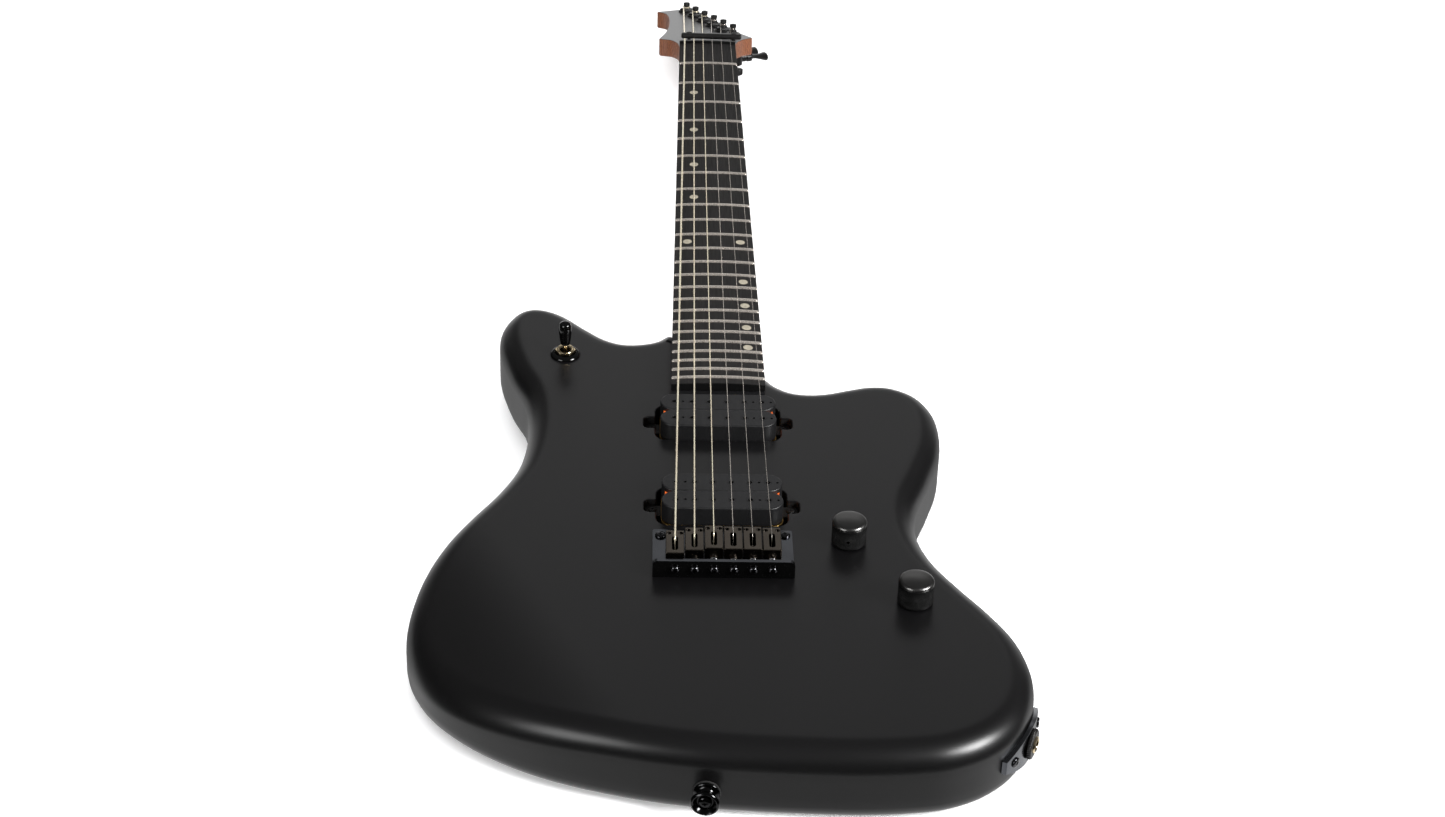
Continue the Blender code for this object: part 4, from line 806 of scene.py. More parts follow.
def make_body():
    body = body_blank()
    near = BOARD_END - GAP
    far = 320
    pocket = slab("pocket", [(-board_half_width(near) - GAP, near),
        (board_half_width(near) + GAP, near), (board_half_width(far) + GAP, far),
        (-board_half_width(far) - GAP, far)], POCKET_FLOOR, FRET_TOP)
    cavities = [slab("control_room", stadium(KNOBS["volume"], CAVITY_END, 21), 1, ROOM_ROOF),
        peg("switch_room", 20, 1, ROOM_ROOF, matrix=shift(SWITCH_AT.x, SWITCH_AT.y))]
    holes = [slab("control_step", stadium(KNOBS["volume"], CAVITY_END, 25.8, 28), -2, COVER_STEP),
        drill(SWITCH_AT.x, SWITCH_AT.y, -2, COVER_STEP, 24.8, 64),
        slab("plate_step", neck_plate_outline(GAP), -2, COVER_STEP)]
    for at, radius in ((KNOBS["volume"], 5.3), (KNOBS["tone"], 5.3), (SWITCH_AT, 6.6)):
        holes.append(drill(at.x, at.y, 38, 46, radius))
    for index in STRINGS:
        x = saddle_x(index)
        holes.append(turned("string_hole", [(0, -1), (4.3, -1), (4.3, 8), (1.7, 8), (1.7, 46),
            (0, 46)], 24, matrix=shift(x, STRING_HOLE_Y)))
    jack = side_matrix(JACK_AT, JACK_LEVEL)
    holes.append(rod("jack_hole", jack @ Vector((0, 0, 3)), jack @ Vector((0, 0, -30)), 9.5))
    cut(body, gather("pocket_and_holes", [pocket] + holes), gather("rooms", cavities))
    dress(body, LACQUER, nodes=["body"], smooth=38)

    # Rout walls and floor get the near-black rout material: partly their own black, partly painted
    # shade.
    def in_rout(centre, normal):
        return 20 < centre.z < BODY_TOP - 1 and any(abs(centre.x - at.x) < 45
            and abs(centre.y - at.y) < 19.2 for at, _ in PICKUPS.values())

    paint(body, ROUT_PAINT_AND_SHADE, in_rout)


# --------------------------------------------------------------------- neck

NECK_STATIONS = [(155.3, 20.1, 9), (205, 20.1, 9), (235, 19.7, 5), (252, 18.7, 3.2),
    (270, 17.3, 2.5), (300, 16.5, 2.3), (400, 15.6, 2.3), (520, 14.8, 2.3), (625, 14, 2.3),
    (643, 14.4, 2.6), (651, 14.4, 3.4)]


def neck_section(y, half, top, depth, fullness):
    steps = 32
    ring = []
    for k in range(steps + 1):
        angle = math.pi * k / steps
        across = math.copysign(abs(math.cos(angle)) ** (2 / fullness), math.cos(angle))
        down = abs(math.sin(angle)) ** (2 / fullness)
        ring.append((half * across, y, top - depth * down))
    return ring


def head_outline():
    """The headstock outline: smooth runs between corners, and the corners eased."""
    points = []
    for run in HEAD_RUNS:
        points += smooth_run([Vector(point) for point in run])
    points = resample(points, 420, True)
    for _ in range(3):
        points = [(points[i - 1] + points[i] * 2 + points[(i + 1) % len(points)]) / 4
            for i in range(len(points))]
    return points


def make_neck():
    rings = []
    stations = smooth_run([Vector(station) for station in NECK_STATIONS], 8)
    for station in stations:
        y = station.x
        rings.append(neck_section(y, board_half_width(y) - GAP, BOARD_BOTTOM, station.y,
            station.z))
    rings.append(neck_section(653, NUT_HALF_WIDTH - GAP, BOARD_BOTTOM - 0.2, 13, 3.4))
    rings.append(neck_section(660, NUT_HALF_WIDTH - 1, BOARD_BOTTOM - 3.5, 6, 3))
    neck = loft("neck_and_head", rings)
    head = rounded_slab("head", head_outline(), -HEAD_THICKNESS, 0, 0.7, 1.6, matrix=HEAD_MATRIX)
    join(neck, head)
    holes = []
    for index in STRINGS:
        holes.append(peg("post_hole", 5, -HEAD_THICKNESS - 1, 1, matrix=tuner_matrix(index)))
    cut(neck, gather("post_holes", holes))
    dress(neck, NECK_WOOD, nodes=["neck", "truss_rod"], smooth=40)
    # The head's face gets its lacquer; every face at the heel end gets the same dark grey as
    # painted shade.
    facing = HEAD_MATRIX.to_3x3() @ Vector((0, 0, 1))
    paint(neck, FACE_LACQUER_AND_HEEL_SHADE, lambda centre, normal: centre.y < BOARD_END + 7 or centre.y > 652
        and normal.dot(facing) > 0.6)


def make_fretboard():
    rings = []
    count = 40
    for k in range(count + 1):
        y = BOARD_END + (SCALE_LENGTH - GAP - BOARD_END) * k / count
        half = board_half_width(y)
        ring = [(-half, y, BOARD_BOTTOM + GAP), (half, y, BOARD_BOTTOM + GAP)]
        steps = 16
        for step in range(steps + 1):
            x = half - 2 * half * step / steps
            ring.append((x, y, BOARD_TOP - crown_drop(x)))
        rings.append(ring)
    board = ease(loft("fretboard_slab", rings), 0.35)
    dress(board, BOARD_WOOD, nodes=["fretboard"])
    # The board's end face gets the nut's black as painted shade.
    paint(board, NUT_BLACK_AND_END_SHADE, lambda centre, normal: normal.y < -0.6)
    frets = gather("frets", [fret(number) for number in range(1, 25)])
    dress(frets, FRET_METAL, smooth=50)
    dots = []
    for number, places in ((3, (-1.5,)), (5, (-1.5,)), (7, (-1.5,)), (9, (-1.5,)), (12, (-2, 2)),
            (15, (2,)), (17, (2,)), (19, (2,)), (21, (2,))):
        high = SCALE_LENGTH * 2 ** (-(number - 1) / 12)
        low = SCALE_LENGTH * 2 ** (-number / 12)
        y = (high + low) / 2
        for place in places:
            pitch = NUT_PITCH + (BRIDGE_PITCH - NUT_PITCH) * (1 - y / SCALE_LENGTH)
            dots.append(dot(place * pitch, y))
    dress(gather("inlay_dots", dots), INLAY)


def dot(x, y):
    """A round inlay, flush with the domed board."""
    level = BOARD_TOP - crown_drop(x)
    tilt = Matrix.Rotation(math.asin(x / BOARD_RADIUS), 4, "Y")
    return turned("dot", [(0, -1.2), (3, -1.2), (3, 0.02), (2.9, 0.05), (0, 0.05)], 40,
        matrix=shift(x, y, level) @ tilt)


def fret(number):
    """A crowned fret wire bent to the board, with its ends filed back."""
    y = SCALE_LENGTH * 2 ** (-number / 12)
    half = board_half_width(y) - 0.15
    rings = []
    stations = [(-1, 0.25), (-1 + 0.5 / half, 0.8), (-1 + 1 / half, 1)]
    stations += [(-1 + 2 * k / 14, 1) for k in range(1, 14)]
    stations += [(-share, size) for share, size in reversed(stations[:3])]
    for share, size in stations:
        x = half * share
        foot = BOARD_TOP - crown_drop(x) - 0.1
        ring = []
        for k in range(9):
            angle = math.pi * k / 8
            ring.append((x, y + 1.2 * math.cos(angle) * (0.7 + 0.3 * size),
                foot + 1.2 * math.sin(angle) ** 0.8 * size))
        rings.append(ring)
    return loft("fret", rings)


def make_nut():
    low = BOARD_BOTTOM + GAP
    rings = []
    for y, drop in ((648, 0), (649.5, 0.1), (651, 0.5), (652.7, 1.2)):
        ring = [(-NUT_HALF_WIDTH, y, low), (NUT_HALF_WIDTH, y, low)]
        for k in range(17):
            x = NUT_HALF_WIDTH * (1 - 2 * k / 16)
            ring.append((x, y, FRET_TOP + 0.7 - drop - crown_drop(x)))
        rings.append(ring)
    nut = loft("nut_block", rings)
    slots = []
    for index in STRINGS:
        level = string_at_nut(index) + STRING_RADII[index]
        slots.append(rod("slot", (nut_x(index), 646, level), (nut_x(index), 655, level - 1.3),
            STRING_RADII[index] + 0.08, 16))
    cut(nut, gather("slots", slots))
    dress(nut, NUT_BLACK_AND_END_SHADE, nodes=["nut"])


# ------------------------------------------------------------------- screws

def screw_head(name, radius, height, matrix, dome=0.55):
    """A pan head with a cross recess, its seat at z = 0 of the matrix."""
    steps = 8
    profile = [(0, 0), (radius * 0.96, 0), (radius, height * 0.12)]
    for k in range(steps + 1):
        angle = math.pi / 2 * k / steps
        profile.append((radius * math.cos(angle) ** 0.6,
            height * (1 - dome) + height * dome * math.sin(angle)))
    profile[-1] = (0, height)
    head = turned(name, profile, 32)
    reach = radius * 0.5
    wide = radius * 0.13
    blades = []
    for turn in (0, 90):
        cross = spin(turn, "Z")
        rings = []
        for z, share in ((height * 0.35, 0.45), (height * 1.2, 1)):
            across, along = wide * (0.7 + 0.3 * share), reach * share
            rings.append([(-along, -across, z), (along, -across, z), (along, across, z),
                (-along, across, z)])
        blades.append(loft("blade", rings, cross))
    cut(head, *blades)
    head.data.transform(matrix)
    return head


def threaded_shaft(name, radius, low, high, matrix):
    """A shaft with close ridges, from low to high."""
    pitch = 0.55
    profile = [(0, low), (radius * 0.7, low)]
    count = int((high - low - 0.6) / pitch)
    for k in range(count):
        z = low + 0.4 + pitch * k
        profile += [(radius * 0.84, z), (radius, z + pitch * 0.5)]
    profile += [(radius * 0.84, high), (0, high)]
    return turned(name, profile, 20, matrix=matrix)


# ----------------------------------------------------------- retainer, tuners

def make_retainer():
    """A round-edged bar over the strings on two screws."""
    frame_of_bar = HEAD_MATRIX @ shift(3.3, 11.5) @ spin(-3, "Z")
    rings = []
    half = 23.3
    for x, size in ((-half, 0.55), (-half + 0.4, 0.85), (-half + 1.2, 1), (half - 1.2, 1),
            (half - 0.4, 0.85), (half, 0.55)):
        ring = []
        for k in range(28):
            angle = 2 * math.pi * k / 28
            y = math.copysign(abs(math.cos(angle)) ** 0.75, math.cos(angle)) * 3.6 * size
            z = math.copysign(abs(math.sin(angle)) ** 0.75, math.sin(angle)) * 2.25 * size
            ring.append((x, y, 6.45 + z))
        rings.append(ring)
    bar = loft("retainer_bar", rings, frame_of_bar)
    pieces = []
    for side in (-1, 1):
        place = frame_of_bar @ shift(side * 17.3, 0)
        pieces.append(screw_head("head", 2.4, 1.5, place @ shift(0, 0, 7.9)))
        pieces.append(peg("shank", 1.3, -9, 7, 24, place))
    dress(bar, SATIN_BLACK, nodes=["string_retainer_bar"])
    dress(gather("retainer_screws", pieces), SATIN_BLACK)


def scalloped_ring(name, inner, outer, depth, count, levels, matrix=None):
    """A wheel with a coin edge: levels are (height, share of full radius)."""
    steps = count * 4
    rings = []
    for z, share in levels:
        ring = []
        for k in range(steps):
            angle = 2 * math.pi * k / steps
            radius = (outer - depth * (0.5 + 0.5 * math.cos(angle * count))) * share
            ring.append((radius * math.cos(angle), radius * math.sin(angle), z))
        rings.append(ring)
    build = bmesh.new()
    built = [[build.verts.new(point) for point in ring] for ring in rings]
    bore = [[build.verts.new(point) for point in ring_at(inner, z, steps)]
        for z in (levels[-1][0], levels[0][0])]
    loops = built + bore
    for first, second in zip(loops, loops[1:] + loops[:1]):
        bridge(build, first, second)
    return new_object(name, build, matrix)


def tuner_housing():
    """Cast gear housing, worm arm with its collar, threaded sleeve, washer and hexagon nut."""
    back = -HEAD_THICKNESS - GAP
    low = back - 9.5
    shell = turned("shell", [(3.4, back), (7.4, back), (8, back - 0.6), (8, low + 1.6),
        (7.6, low + 0.7), (6.6, low), (3.4, low)], 48, closed=True)
    arm = turned("arm", [(0, -6), (3, -6), (3.7, -5.2), (3.7, 12.6), (3.3, 13), (3.3, 13.8),
        (3.7, 14.2), (3.7, 16.9), (3.2, ARM_REACH), (0, ARM_REACH)], 32,
        matrix=shift(0, WORM_OFFSET, WORM_LEVEL) @ spin(90, "Y"))
    join(shell, arm)
    sleeve = turned("sleeve", [(3.4, back - 1), (4.6, back - 1), (4.6, 1), (4.4, 2.7), (4.1, 3),
        (3.4, 3)], 40, closed=True)
    washer = turned("washer", [(4.7, 0.15), (6.6, 0.15), (6.8, 0.4), (6.5, 1), (5.6, 1.3),
        (4.7, 1.3)], 48, closed=True)
    nut = prism("nut", 6, 5.9, 1.35, 2.75)
    cut(nut, drill(0, 0, 0, 4, 4.65))
    ease(nut, 0.25)
    return gather("tuner_casting_mesh", [shell, sleeve, washer, nut])


def tuner_post(index):
    """Capped string post, its shaft down through the housing and the knurled locking wheel."""
    top = post_top(index)
    shoulder = top - 4.7
    back = -HEAD_THICKNESS - GAP
    wheel = back - 12
    profile = [(0, wheel - 4.6), (3, wheel - 4.6), (3, shoulder - 0.5), (2.7, shoulder),
        (POST_NECK_RADIUS, shoulder + 0.15), (POST_NECK_RADIUS, top - 3.3), (2.2, top - 3),
        (2.6, top - 2.6), (2.6, top - 0.5), (2.4, top - 0.2), (1.9, top), (1.1, top),
        (0.9, top - 0.3), (0, top - 0.45)]
    shaft = turned("shaft", profile, 40)
    collar = scalloped_ring("wheel", 3.05, 8.5, 0.45, 32,
        [(wheel - 5, 0.86), (wheel - 4.4, 0.98), (wheel - 3.9, 1), (wheel - 0.9, 1),
        (wheel - 0.3, 0.97), (wheel, 0.88)])
    return gather("tuner_shaft_%d" % (index + 1), [shaft, collar])


def tuner_button():
    """Waisted button, thin across the post, on its worm shaft, with its washer."""
    inner = ARM_REACH + 0.5
    profile = [(0, inner), (3.6, inner)]
    profile += curved([(3.7, 17.9), (3.6, 19.4), (3.9, 21.8), (5.1, 24.8), (6.8, 27.6),
        (7.7, 29.2)], 6)
    profile += [(7.6, 29.6), (7.3, BUTTON_REACH), (0, BUTTON_REACH)]
    knob = turned("knob", profile, 56)
    knob.data.transform(Matrix.Diagonal((0.42, 1, 1, 1)))
    washer = turned("washer", [(0, 17.45), (3.2, 17.45), (3.4, 17.7), (3.2, 18.1), (0, 18.1)], 32)
    shaft = peg("worm", 1.8, -3, 18.5, 24)
    button = gather("tuner_knob_mesh", [knob, washer, shaft])
    button.data.transform(spin(90, "Y"))
    return button


def make_tuners():
    housing = tuner_housing()
    button = tuner_button()
    for index in STRINGS:
        number = index + 1
        matrix = tuner_matrix(index)
        for source, name, node, body, place in ((housing, "tuner_case_%d", "tuner_housing_%d",
                "guitar", matrix), (button, "tuner_knob_%d", "tuner_button_%d",
                "button_%d" % number, matrix @ shift(0, WORM_OFFSET, WORM_LEVEL))):
            obj = bpy.data.objects.new(name % number, source.data.copy())
            bpy.context.scene.collection.objects.link(obj)
            obj.data.transform(place)
            dress(obj, BLACK_CAST, body, [node % number])
        post = tuner_post(index)
        post.data.transform(matrix)
        dress(post, BLACK_CAST, "post_%d" % number, ["tuner_post_%d" % number])
    remove(housing)
    remove(button)


# ------------------------------------------------------------------ strings

def string_route(index):
    """Centreline: up through the body, over the saddle and nut, under the bar, round the post."""
    radius = STRING_RADII[index]
    x = saddle_x(index)
    top = string_at_saddle(index) + radius
    bend = SADDLE_FRONTS[index] - 7.5
    nut_level = string_at_nut(index) + radius
    tuner = tuner_at(index)
    wrap = post_top(index) - 3.9
    under = 4 - radius - 0.25
    coil = POST_NECK_RADIUS + radius + 0.1
    side = tuner.x - coil
    bar_x = nut_x(index) + (side - nut_x(index)) * 11.5 / tuner.y
    corners = [Vector((x, STRING_HOLE_Y, 9)), Vector((x, STRING_HOLE_Y, 46)),
        Vector((x, bend - 0.6, top - 1.2)), Vector((x, bend + 0.5, top)),
        Vector((nut_x(index), SCALE_LENGTH + 0.5, nut_level)),
        Vector((nut_x(index), SCALE_LENGTH + 5, nut_level - 0.9)),
        HEAD_MATRIX @ Vector((bar_x - 0.1, 9, under)),
        HEAD_MATRIX @ Vector((bar_x + 0.1, 14.5, under)),
        HEAD_MATRIX @ Vector((side, tuner.y - 1.5, wrap))]
    route = round_corners(corners, 1.6)
    turns = 1 if index < 3 else 2.5
    steps = int(28 * turns)
    for k in range(steps + 1):
        angle = math.pi - 2 * math.pi * turns * k / steps
        drop = 2.1 * radius * (k / steps * turns - turns / 2)
        route.append(HEAD_MATRIX @ Vector((tuner.x + coil * math.cos(angle),
            tuner.y + coil * math.sin(angle), wrap - drop)))
    return route


def round_corners(corners, reach):
    """Replace each corner of a polyline by a short smooth bend."""
    points = [corners[0]]
    for before, corner, after in zip(corners, corners[1:], corners[2:]):
        back = min(reach, 0.45 * (corner - before).length)
        on = min(reach, 0.45 * (after - corner).length)
        start = corner + (before - corner).normalized() * back
        end = corner + (after - corner).normalized() * on
        for k in range(6):
            t = k / 5
            points.append(start * (1 - t) ** 2 + corner * 2 * t * (1 - t) + end * t * t)
    return points + [corners[-1]]


def tube(name, route, radius, sides=12):
    """A closed tube along a route, without twist."""
    rings = []
    side = Vector((1, 0, 0))
    for i, point in enumerate(route):
        before = route[max(i - 1, 0)]
        after = route[min(i + 1, len(route) - 1)]
        along = (after - before).normalized()
        side = (side - along * side.dot(along)).normalized()
        other = along.cross(side)
        rings.append([point + side * radius * math.cos(2 * math.pi * k / sides)
            + other * radius * math.sin(2 * math.pi * k / sides) for k in range(sides)])
    return loft(name, rings)


def make_strings():
    for index in STRINGS:
        string = tube("string_wire_%d" % (index + 1), string_route(index), STRING_RADII[index])
        wound = index < 3
        dress(string, WOUND if wound else PLAIN,
            nodes=["string_%d" % (index + 1)], smooth=60)


# ------------------------------------------------------------------- bridge

def make_bridge_plate():
    low = PLATE_LEVEL
    plate = slab("hardtail_plate", round_box(-PLATE_HALF_WIDTH, PLATE_BACK, PLATE_HALF_WIDTH,
        PLATE_FRONT, 1.6), low, low + 2)
    half = PLATE_HALF_WIDTH - 0.02
    corner = 3
    outline = [(-half, low), (half, low)]
    outline += arc((half - corner, WALL_TOP - corner), corner, 0, 90, 8)
    outline += arc((-half + corner, WALL_TOP - corner), corner, 90, 180, 8)
    wall = slab("wall", outline, 0, WALL_THICKNESS,
        shift(0, PLATE_BACK + WALL_THICKNESS) @ spin(90, "X"))
    join(plate, wall)
    ease(plate, 0.45, 40, 3)
    holes = []
    for index in STRINGS:
        x = saddle_x(index)
        holes.append(drill(x, STRING_HOLE_Y, low - 1, low + 4, 1.7))
        holes.append(rod("wall_hole", (x, PLATE_BACK - 1, SCREW_LEVEL),
            (x, PLATE_BACK + 3.5, SCREW_LEVEL), 1.7))
    cut(plate, gather("bridge_holes", holes))
    dress(plate, BRIDGE_BLACK, nodes=["bridge_plate"])
    # The wall's rear face gets gloss black instead of the plate's metal: painted shade.
    paint(plate, GLOSS_BLACK_AND_WALL_SHADE, lambda centre, normal: normal.y < -0.7 and centre.y < PLATE_BACK + 1)
    screws = []
    for x, y in ((-34.9, 5.1), (35.2, 6.5), (-35.7, -24), (35.7, -24)):
        screws.append(screw_head("plate_screw", 3.1, 1.5, shift(x, y, low + 2.05)))
    dress(gather("bridge_plate_screws", screws), BLACK_METAL)


def make_saddle(index):
    """Block saddle: rounded edges, long string slot, two height screws, rear screw hole."""
    number = index + 1
    x = saddle_x(index)
    front = SADDLE_FRONTS[index]
    back = front - SADDLE_LENGTH
    low = PLATE_LEVEL + 2.8
    high = string_at_saddle(index) - GAP
    half = SADDLE_WIDTH / 2
    block = slab("saddle_block_%d" % number, round_box(x - half, back, x + half, front, 0.5, 3),
        low, high)
    ease(block, 0.4, 40, 3)
    slot_front = front - 7.35
    slot_back = front - 17.25
    cutters = [slab("slot", stadium((x, slot_back), (x, slot_front), 1.75, 12), low - 1, high + 1),
        rod("screw_hole", (x, back - 1, SCREW_LEVEL), (x, slot_back + 1, SCREW_LEVEL), 1.7)]
    for side in (-1, 1):
        cutters.append(drill(x + side * 3.35, front - 2.7, low - 1, high + 1, 1.35, 24))
    cut(block, *cutters)
    dress(block, SADDLE_BLACK, "saddle_%d" % number, ["saddle_%d" % number])
    grubs = []
    for side in (-1, 1):
        matrix = shift(x + side * 3.35, front - 2.7)
        grub = turned("grub", [(0, low - 0.6), (1, low - 0.6), (1.25, low), (1.25, high - 1.3),
            (1.05, high - 1), (0, high - 1)], 24)
        cut(grub, prism("hexagon", 6, 0.72, high - 2.4, high))
        grub.data.transform(matrix)
        grubs.append(grub)
    dress(gather("saddle_height_screws_%d" % number, grubs), BLACK_METAL,
        "saddle_%d" % number)


def make_intonation_screw(index):
    number = index + 1
    tip = SADDLE_FRONTS[index] - SADDLE_LENGTH + 4.6
    place = shift(saddle_x(index), PLATE_BACK, SCREW_LEVEL) @ spin(-90, "X")
    flip = place @ spin(180, "X")
    head = screw_head("head", 2.5, 2.1, flip @ shift(0, 0, GAP) @ spin(17 * index, "Z"), 0.7)
    shaft = threaded_shaft("shaft", 1.4, -0.5, tip - PLATE_BACK, place)
    dress(gather("saddle_screw_%d" % number, [head, shaft]), BLACK_METAL,
        "screw_%d" % number, ["intonation_screw_%d" % number], 45)


def make_spring(index):
    """Coil spring on the intonation screw, between the wall and its saddle."""
    number = index + 1
    start = PLATE_BACK + WALL_THICKNESS + 0.25
    end = SADDLE_FRONTS[index] - SADDLE_LENGTH - 0.25
    radius = 2.05
    turns = 3.5
    route = []
    steps = int(turns * 22)
    for k in range(steps + 1):
        angle = 2 * math.pi * turns * k / steps
        y = start + (end - start) * k / steps
        route.append(Vector((saddle_x(index) + radius * math.cos(angle), y,
            SCREW_LEVEL + radius * math.sin(angle))))
    spring = tube("intonation_spring_%d" % number, route, 0.28, 8)
    spring.data.transform(Matrix.Scale(MM, 4))
    spring.data.materials.append(STEEL)
    spring.data.shade_smooth()
    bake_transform(spring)


# ------------------------------------------------------------------ pickups

def bobbin(at, top, side):
    """One bobbin with rounded edges, and its middle."""
    radius = BOBBIN_WIDTH / 2
    straight = BOBBIN_LENGTH / 2 - radius
    middle = Vector((at.x, at.y + side * (radius + 0.1)))
    ends = (middle - Vector((straight, 0)), middle + Vector((straight, 0)))
    loop = [Vector(p) for p in stadium(ends[0], ends[1], radius, 28)]
    flange = rounded_slab("flange", loop, top - BOBBIN_HEIGHT, top, 0.9, 0.3)
    return flange, middle


def make_pickup(kind, at, top):
    coils = []
    rings = []
    for side in (-1, 1):
        flange, middle = bobbin(at, top, side)
        holes = []
        for index in STRINGS:
            x = middle.x + (index - 2.5) * 10.6
            holes.append(drill(x, middle.y, top - 4, top + 1, 2.25, 28))
            rings.append(pole(x, middle.y, top))
        for place in (-2, 2, 3):
            x = middle.x + place * 10.6
            holes.append(drill(x, middle.y, top - 3, top + 1, 0.85, 20))
        cut(flange, gather("holes", holes))
        coils.append(flange)
    dress(gather(kind + "_pickup_bobbins", coils), BOBBIN_BLACK,
        nodes=[kind + "_pickup_coils"], smooth=40)
    dress(gather(kind + "_pickup_poles", rings), POLE_STEEL)
    make_pickup_tape(kind, at, top)
    make_pickup_base(kind, at, top)


def pole(x, y, top):
    """A slotless pole piece: a thin ring round a deep centre hole."""
    return turned("pole", [(1.35, top - 2.6), (2.18, top - 2.6), (2.18, top - 0.02),
        (2.05, top + 0.08), (1.5, top + 0.08), (1.35, top - 0.06)], 28, closed=True,
        matrix=shift(x, y))


def make_pickup_tape(kind, at, top):
    """Orange coil tape showing in the wedge between the round bobbin ends."""
    radius = BOBBIN_WIDTH / 2 + 0.12
    straight = BOBBIN_LENGTH / 2 - BOBBIN_WIDTH / 2
    pieces = []
    for side in (-1, 1):
        upper = []
        for k in range(9):
            reach = 1.6 + 5.2 * k / 8
            gap = BOBBIN_WIDTH / 2 + 0.1 - math.sqrt(radius * radius - reach * reach)
            upper.append((at.x + side * (straight + reach), max(gap, 0.02)))
        outline = [(x, at.y - gap) for x, gap in upper]
        outline += [(x, at.y + gap) for x, gap in reversed(upper)]
        pieces.append(slab("wedge", outline, top - 11, top - 2.9))
    dress(gather(kind + "_pickup_tape", pieces), ORANGE_TAPE)


def make_pickup_base(kind, at, top):
    low = top - BOBBIN_HEIGHT
    floor = low - 4.6
    half = BOBBIN_LENGTH / 2 + 0.2
    depth = BOBBIN_WIDTH - 0.3
    loop = [Vector(p) for p in round_box(at.x - half, at.y - depth, at.x + half, at.y + depth, 6,
        10)]
    base = rounded_slab(kind + "_pickup_baseplate", loop, floor, low - GAP, 0.3, 0.5)
    dress(base, BRASS, nodes=[kind + "_pickup_base"])
    # The ears and their screws are near-black: their own black, darkened further as painted shade
    # in the rout.
    reach = 43.9
    ears = slab(kind + "_pickup_ears", round_box(at.x - reach, at.y - 5.1, at.x + reach,
        at.y + 5.1, 2.6), floor + 0.4, floor + 2.2)
    dress(ease(ears, 0.3), EAR_BLACK_AND_SHADE)
    screws = []
    for side in (-1, 1):
        place = shift(at.x + side * 39.8, at.y, floor + 2.25)
        screws.append(screw_head("ear_screw", 2.3, 1.4, place))
    dress(gather(kind + "_pickup_screws", screws), EAR_BLACK_AND_SHADE)


# ----------------------------------------------------------------- controls

def knurled_knob(kind, at):
    """Domed knob with a diamond-knurled side and a set screw hole, hollow over its nut."""
    radius = 9.9
    low = BODY_TOP + 0.6
    top = low + 15.8
    count = 54
    steps = count * 8
    rows = 56
    band_low = low + 0.8
    band_high = top - 3.9
    rings = []

    def plain(size, z):
        rings.append(ring_at(size, z, steps))

    plain(radius - 1.6, low + 4)
    plain(radius - 1.6, low)
    plain(radius - 0.5, low)
    plain(radius - 0.1, low + 0.4)
    for row in range(rows + 1):
        z = band_low + (band_high - band_low) * row / rows
        fade = min(1, 3 * min(row, rows - row) / rows * 2)
        ring = []
        for k in range(steps):
            turn = count * k / steps
            lean = (z - band_low) / KNURL_LEAN
            first = abs((turn + lean) % 1 - 0.5)
            second = abs((turn - lean) % 1 - 0.5)
            size = radius - 0.32 * fade * (1 - 2 * min(first, second))
            angle = 2 * math.pi * k / steps
            ring.append((size * math.cos(angle), size * math.sin(angle), z))
        rings.append(ring)
    plain(radius - 0.05, band_high + 0.4)
    plain(radius, band_high + 1)
    for k in range(1, 8):
        angle = math.radians(82 * k / 7)
        plain(radius - 2.4 * (1 - math.cos(angle)), band_high + 1 + 2.1 * math.sin(angle))
    edge = radius - 2.4 * (1 - math.cos(math.radians(82)))
    crown = top - (band_high + 1 + 2.1 * math.sin(math.radians(82)))
    for k in range(1, 6):
        share = 1 - k / 6
        plain(edge * share, top - crown * share * share)
    knob = loft(kind + "_dial", rings + [[(0, 0, top)]])
    heading = math.radians(-97 if kind == "volume" else 130)
    out = Vector((math.cos(heading), math.sin(heading), 0))
    level = Vector((0, 0, low + 5.6))
    cut(knob, rod("set_screw_hole", level + out * 6, level + out * 11, 1.05, 20))
    shaft = drill(0, 0, 30.5, low + 4.2, 3)
    knob = gather(kind + "_dial", [knob, shaft])
    knob.name = kind + "_dial"
    knob.data.transform(shift(at.x, at.y))
    dress(knob, KNOB_BLACK, kind + "_knob", [kind + "_knob"], 35)
    # The knurled side gets a darker copy of the knob's black: painted shade on the side.
    paint(knob, KNURL_SHADE, lambda centre, normal: centre.z < band_high + 0.3)


def make_pot(kind, at):
    """The pot in the cavity, with its threaded sleeve and nut on the top."""
    under = 38.2
    over = BODY_TOP + 0.05
    place = shift(at.x, at.y)
    can = turned("can", [(3.3, under), (10.8, under), (12, under - 1), (12, under - 8),
        (11, under - 9), (3.3, under - 9)], 40, closed=True, matrix=place)
    sleeve = turned("sleeve", [(3.3, under - 1), (4.6, under - 1), (4.6, over + 2.3),
        (3.3, over + 2.3)], 32, closed=True, matrix=place)
    nut = prism("nut", 6, 6.6, over + 0.3, over + 2)
    cut(nut, drill(0, 0, over - 1, over + 4, 4.65))
    nut.data.transform(place)
    dress(gather(kind + "_pot_and_nut", [can, sleeve, nut]), STEEL,
        nodes=[kind + "_pot"])


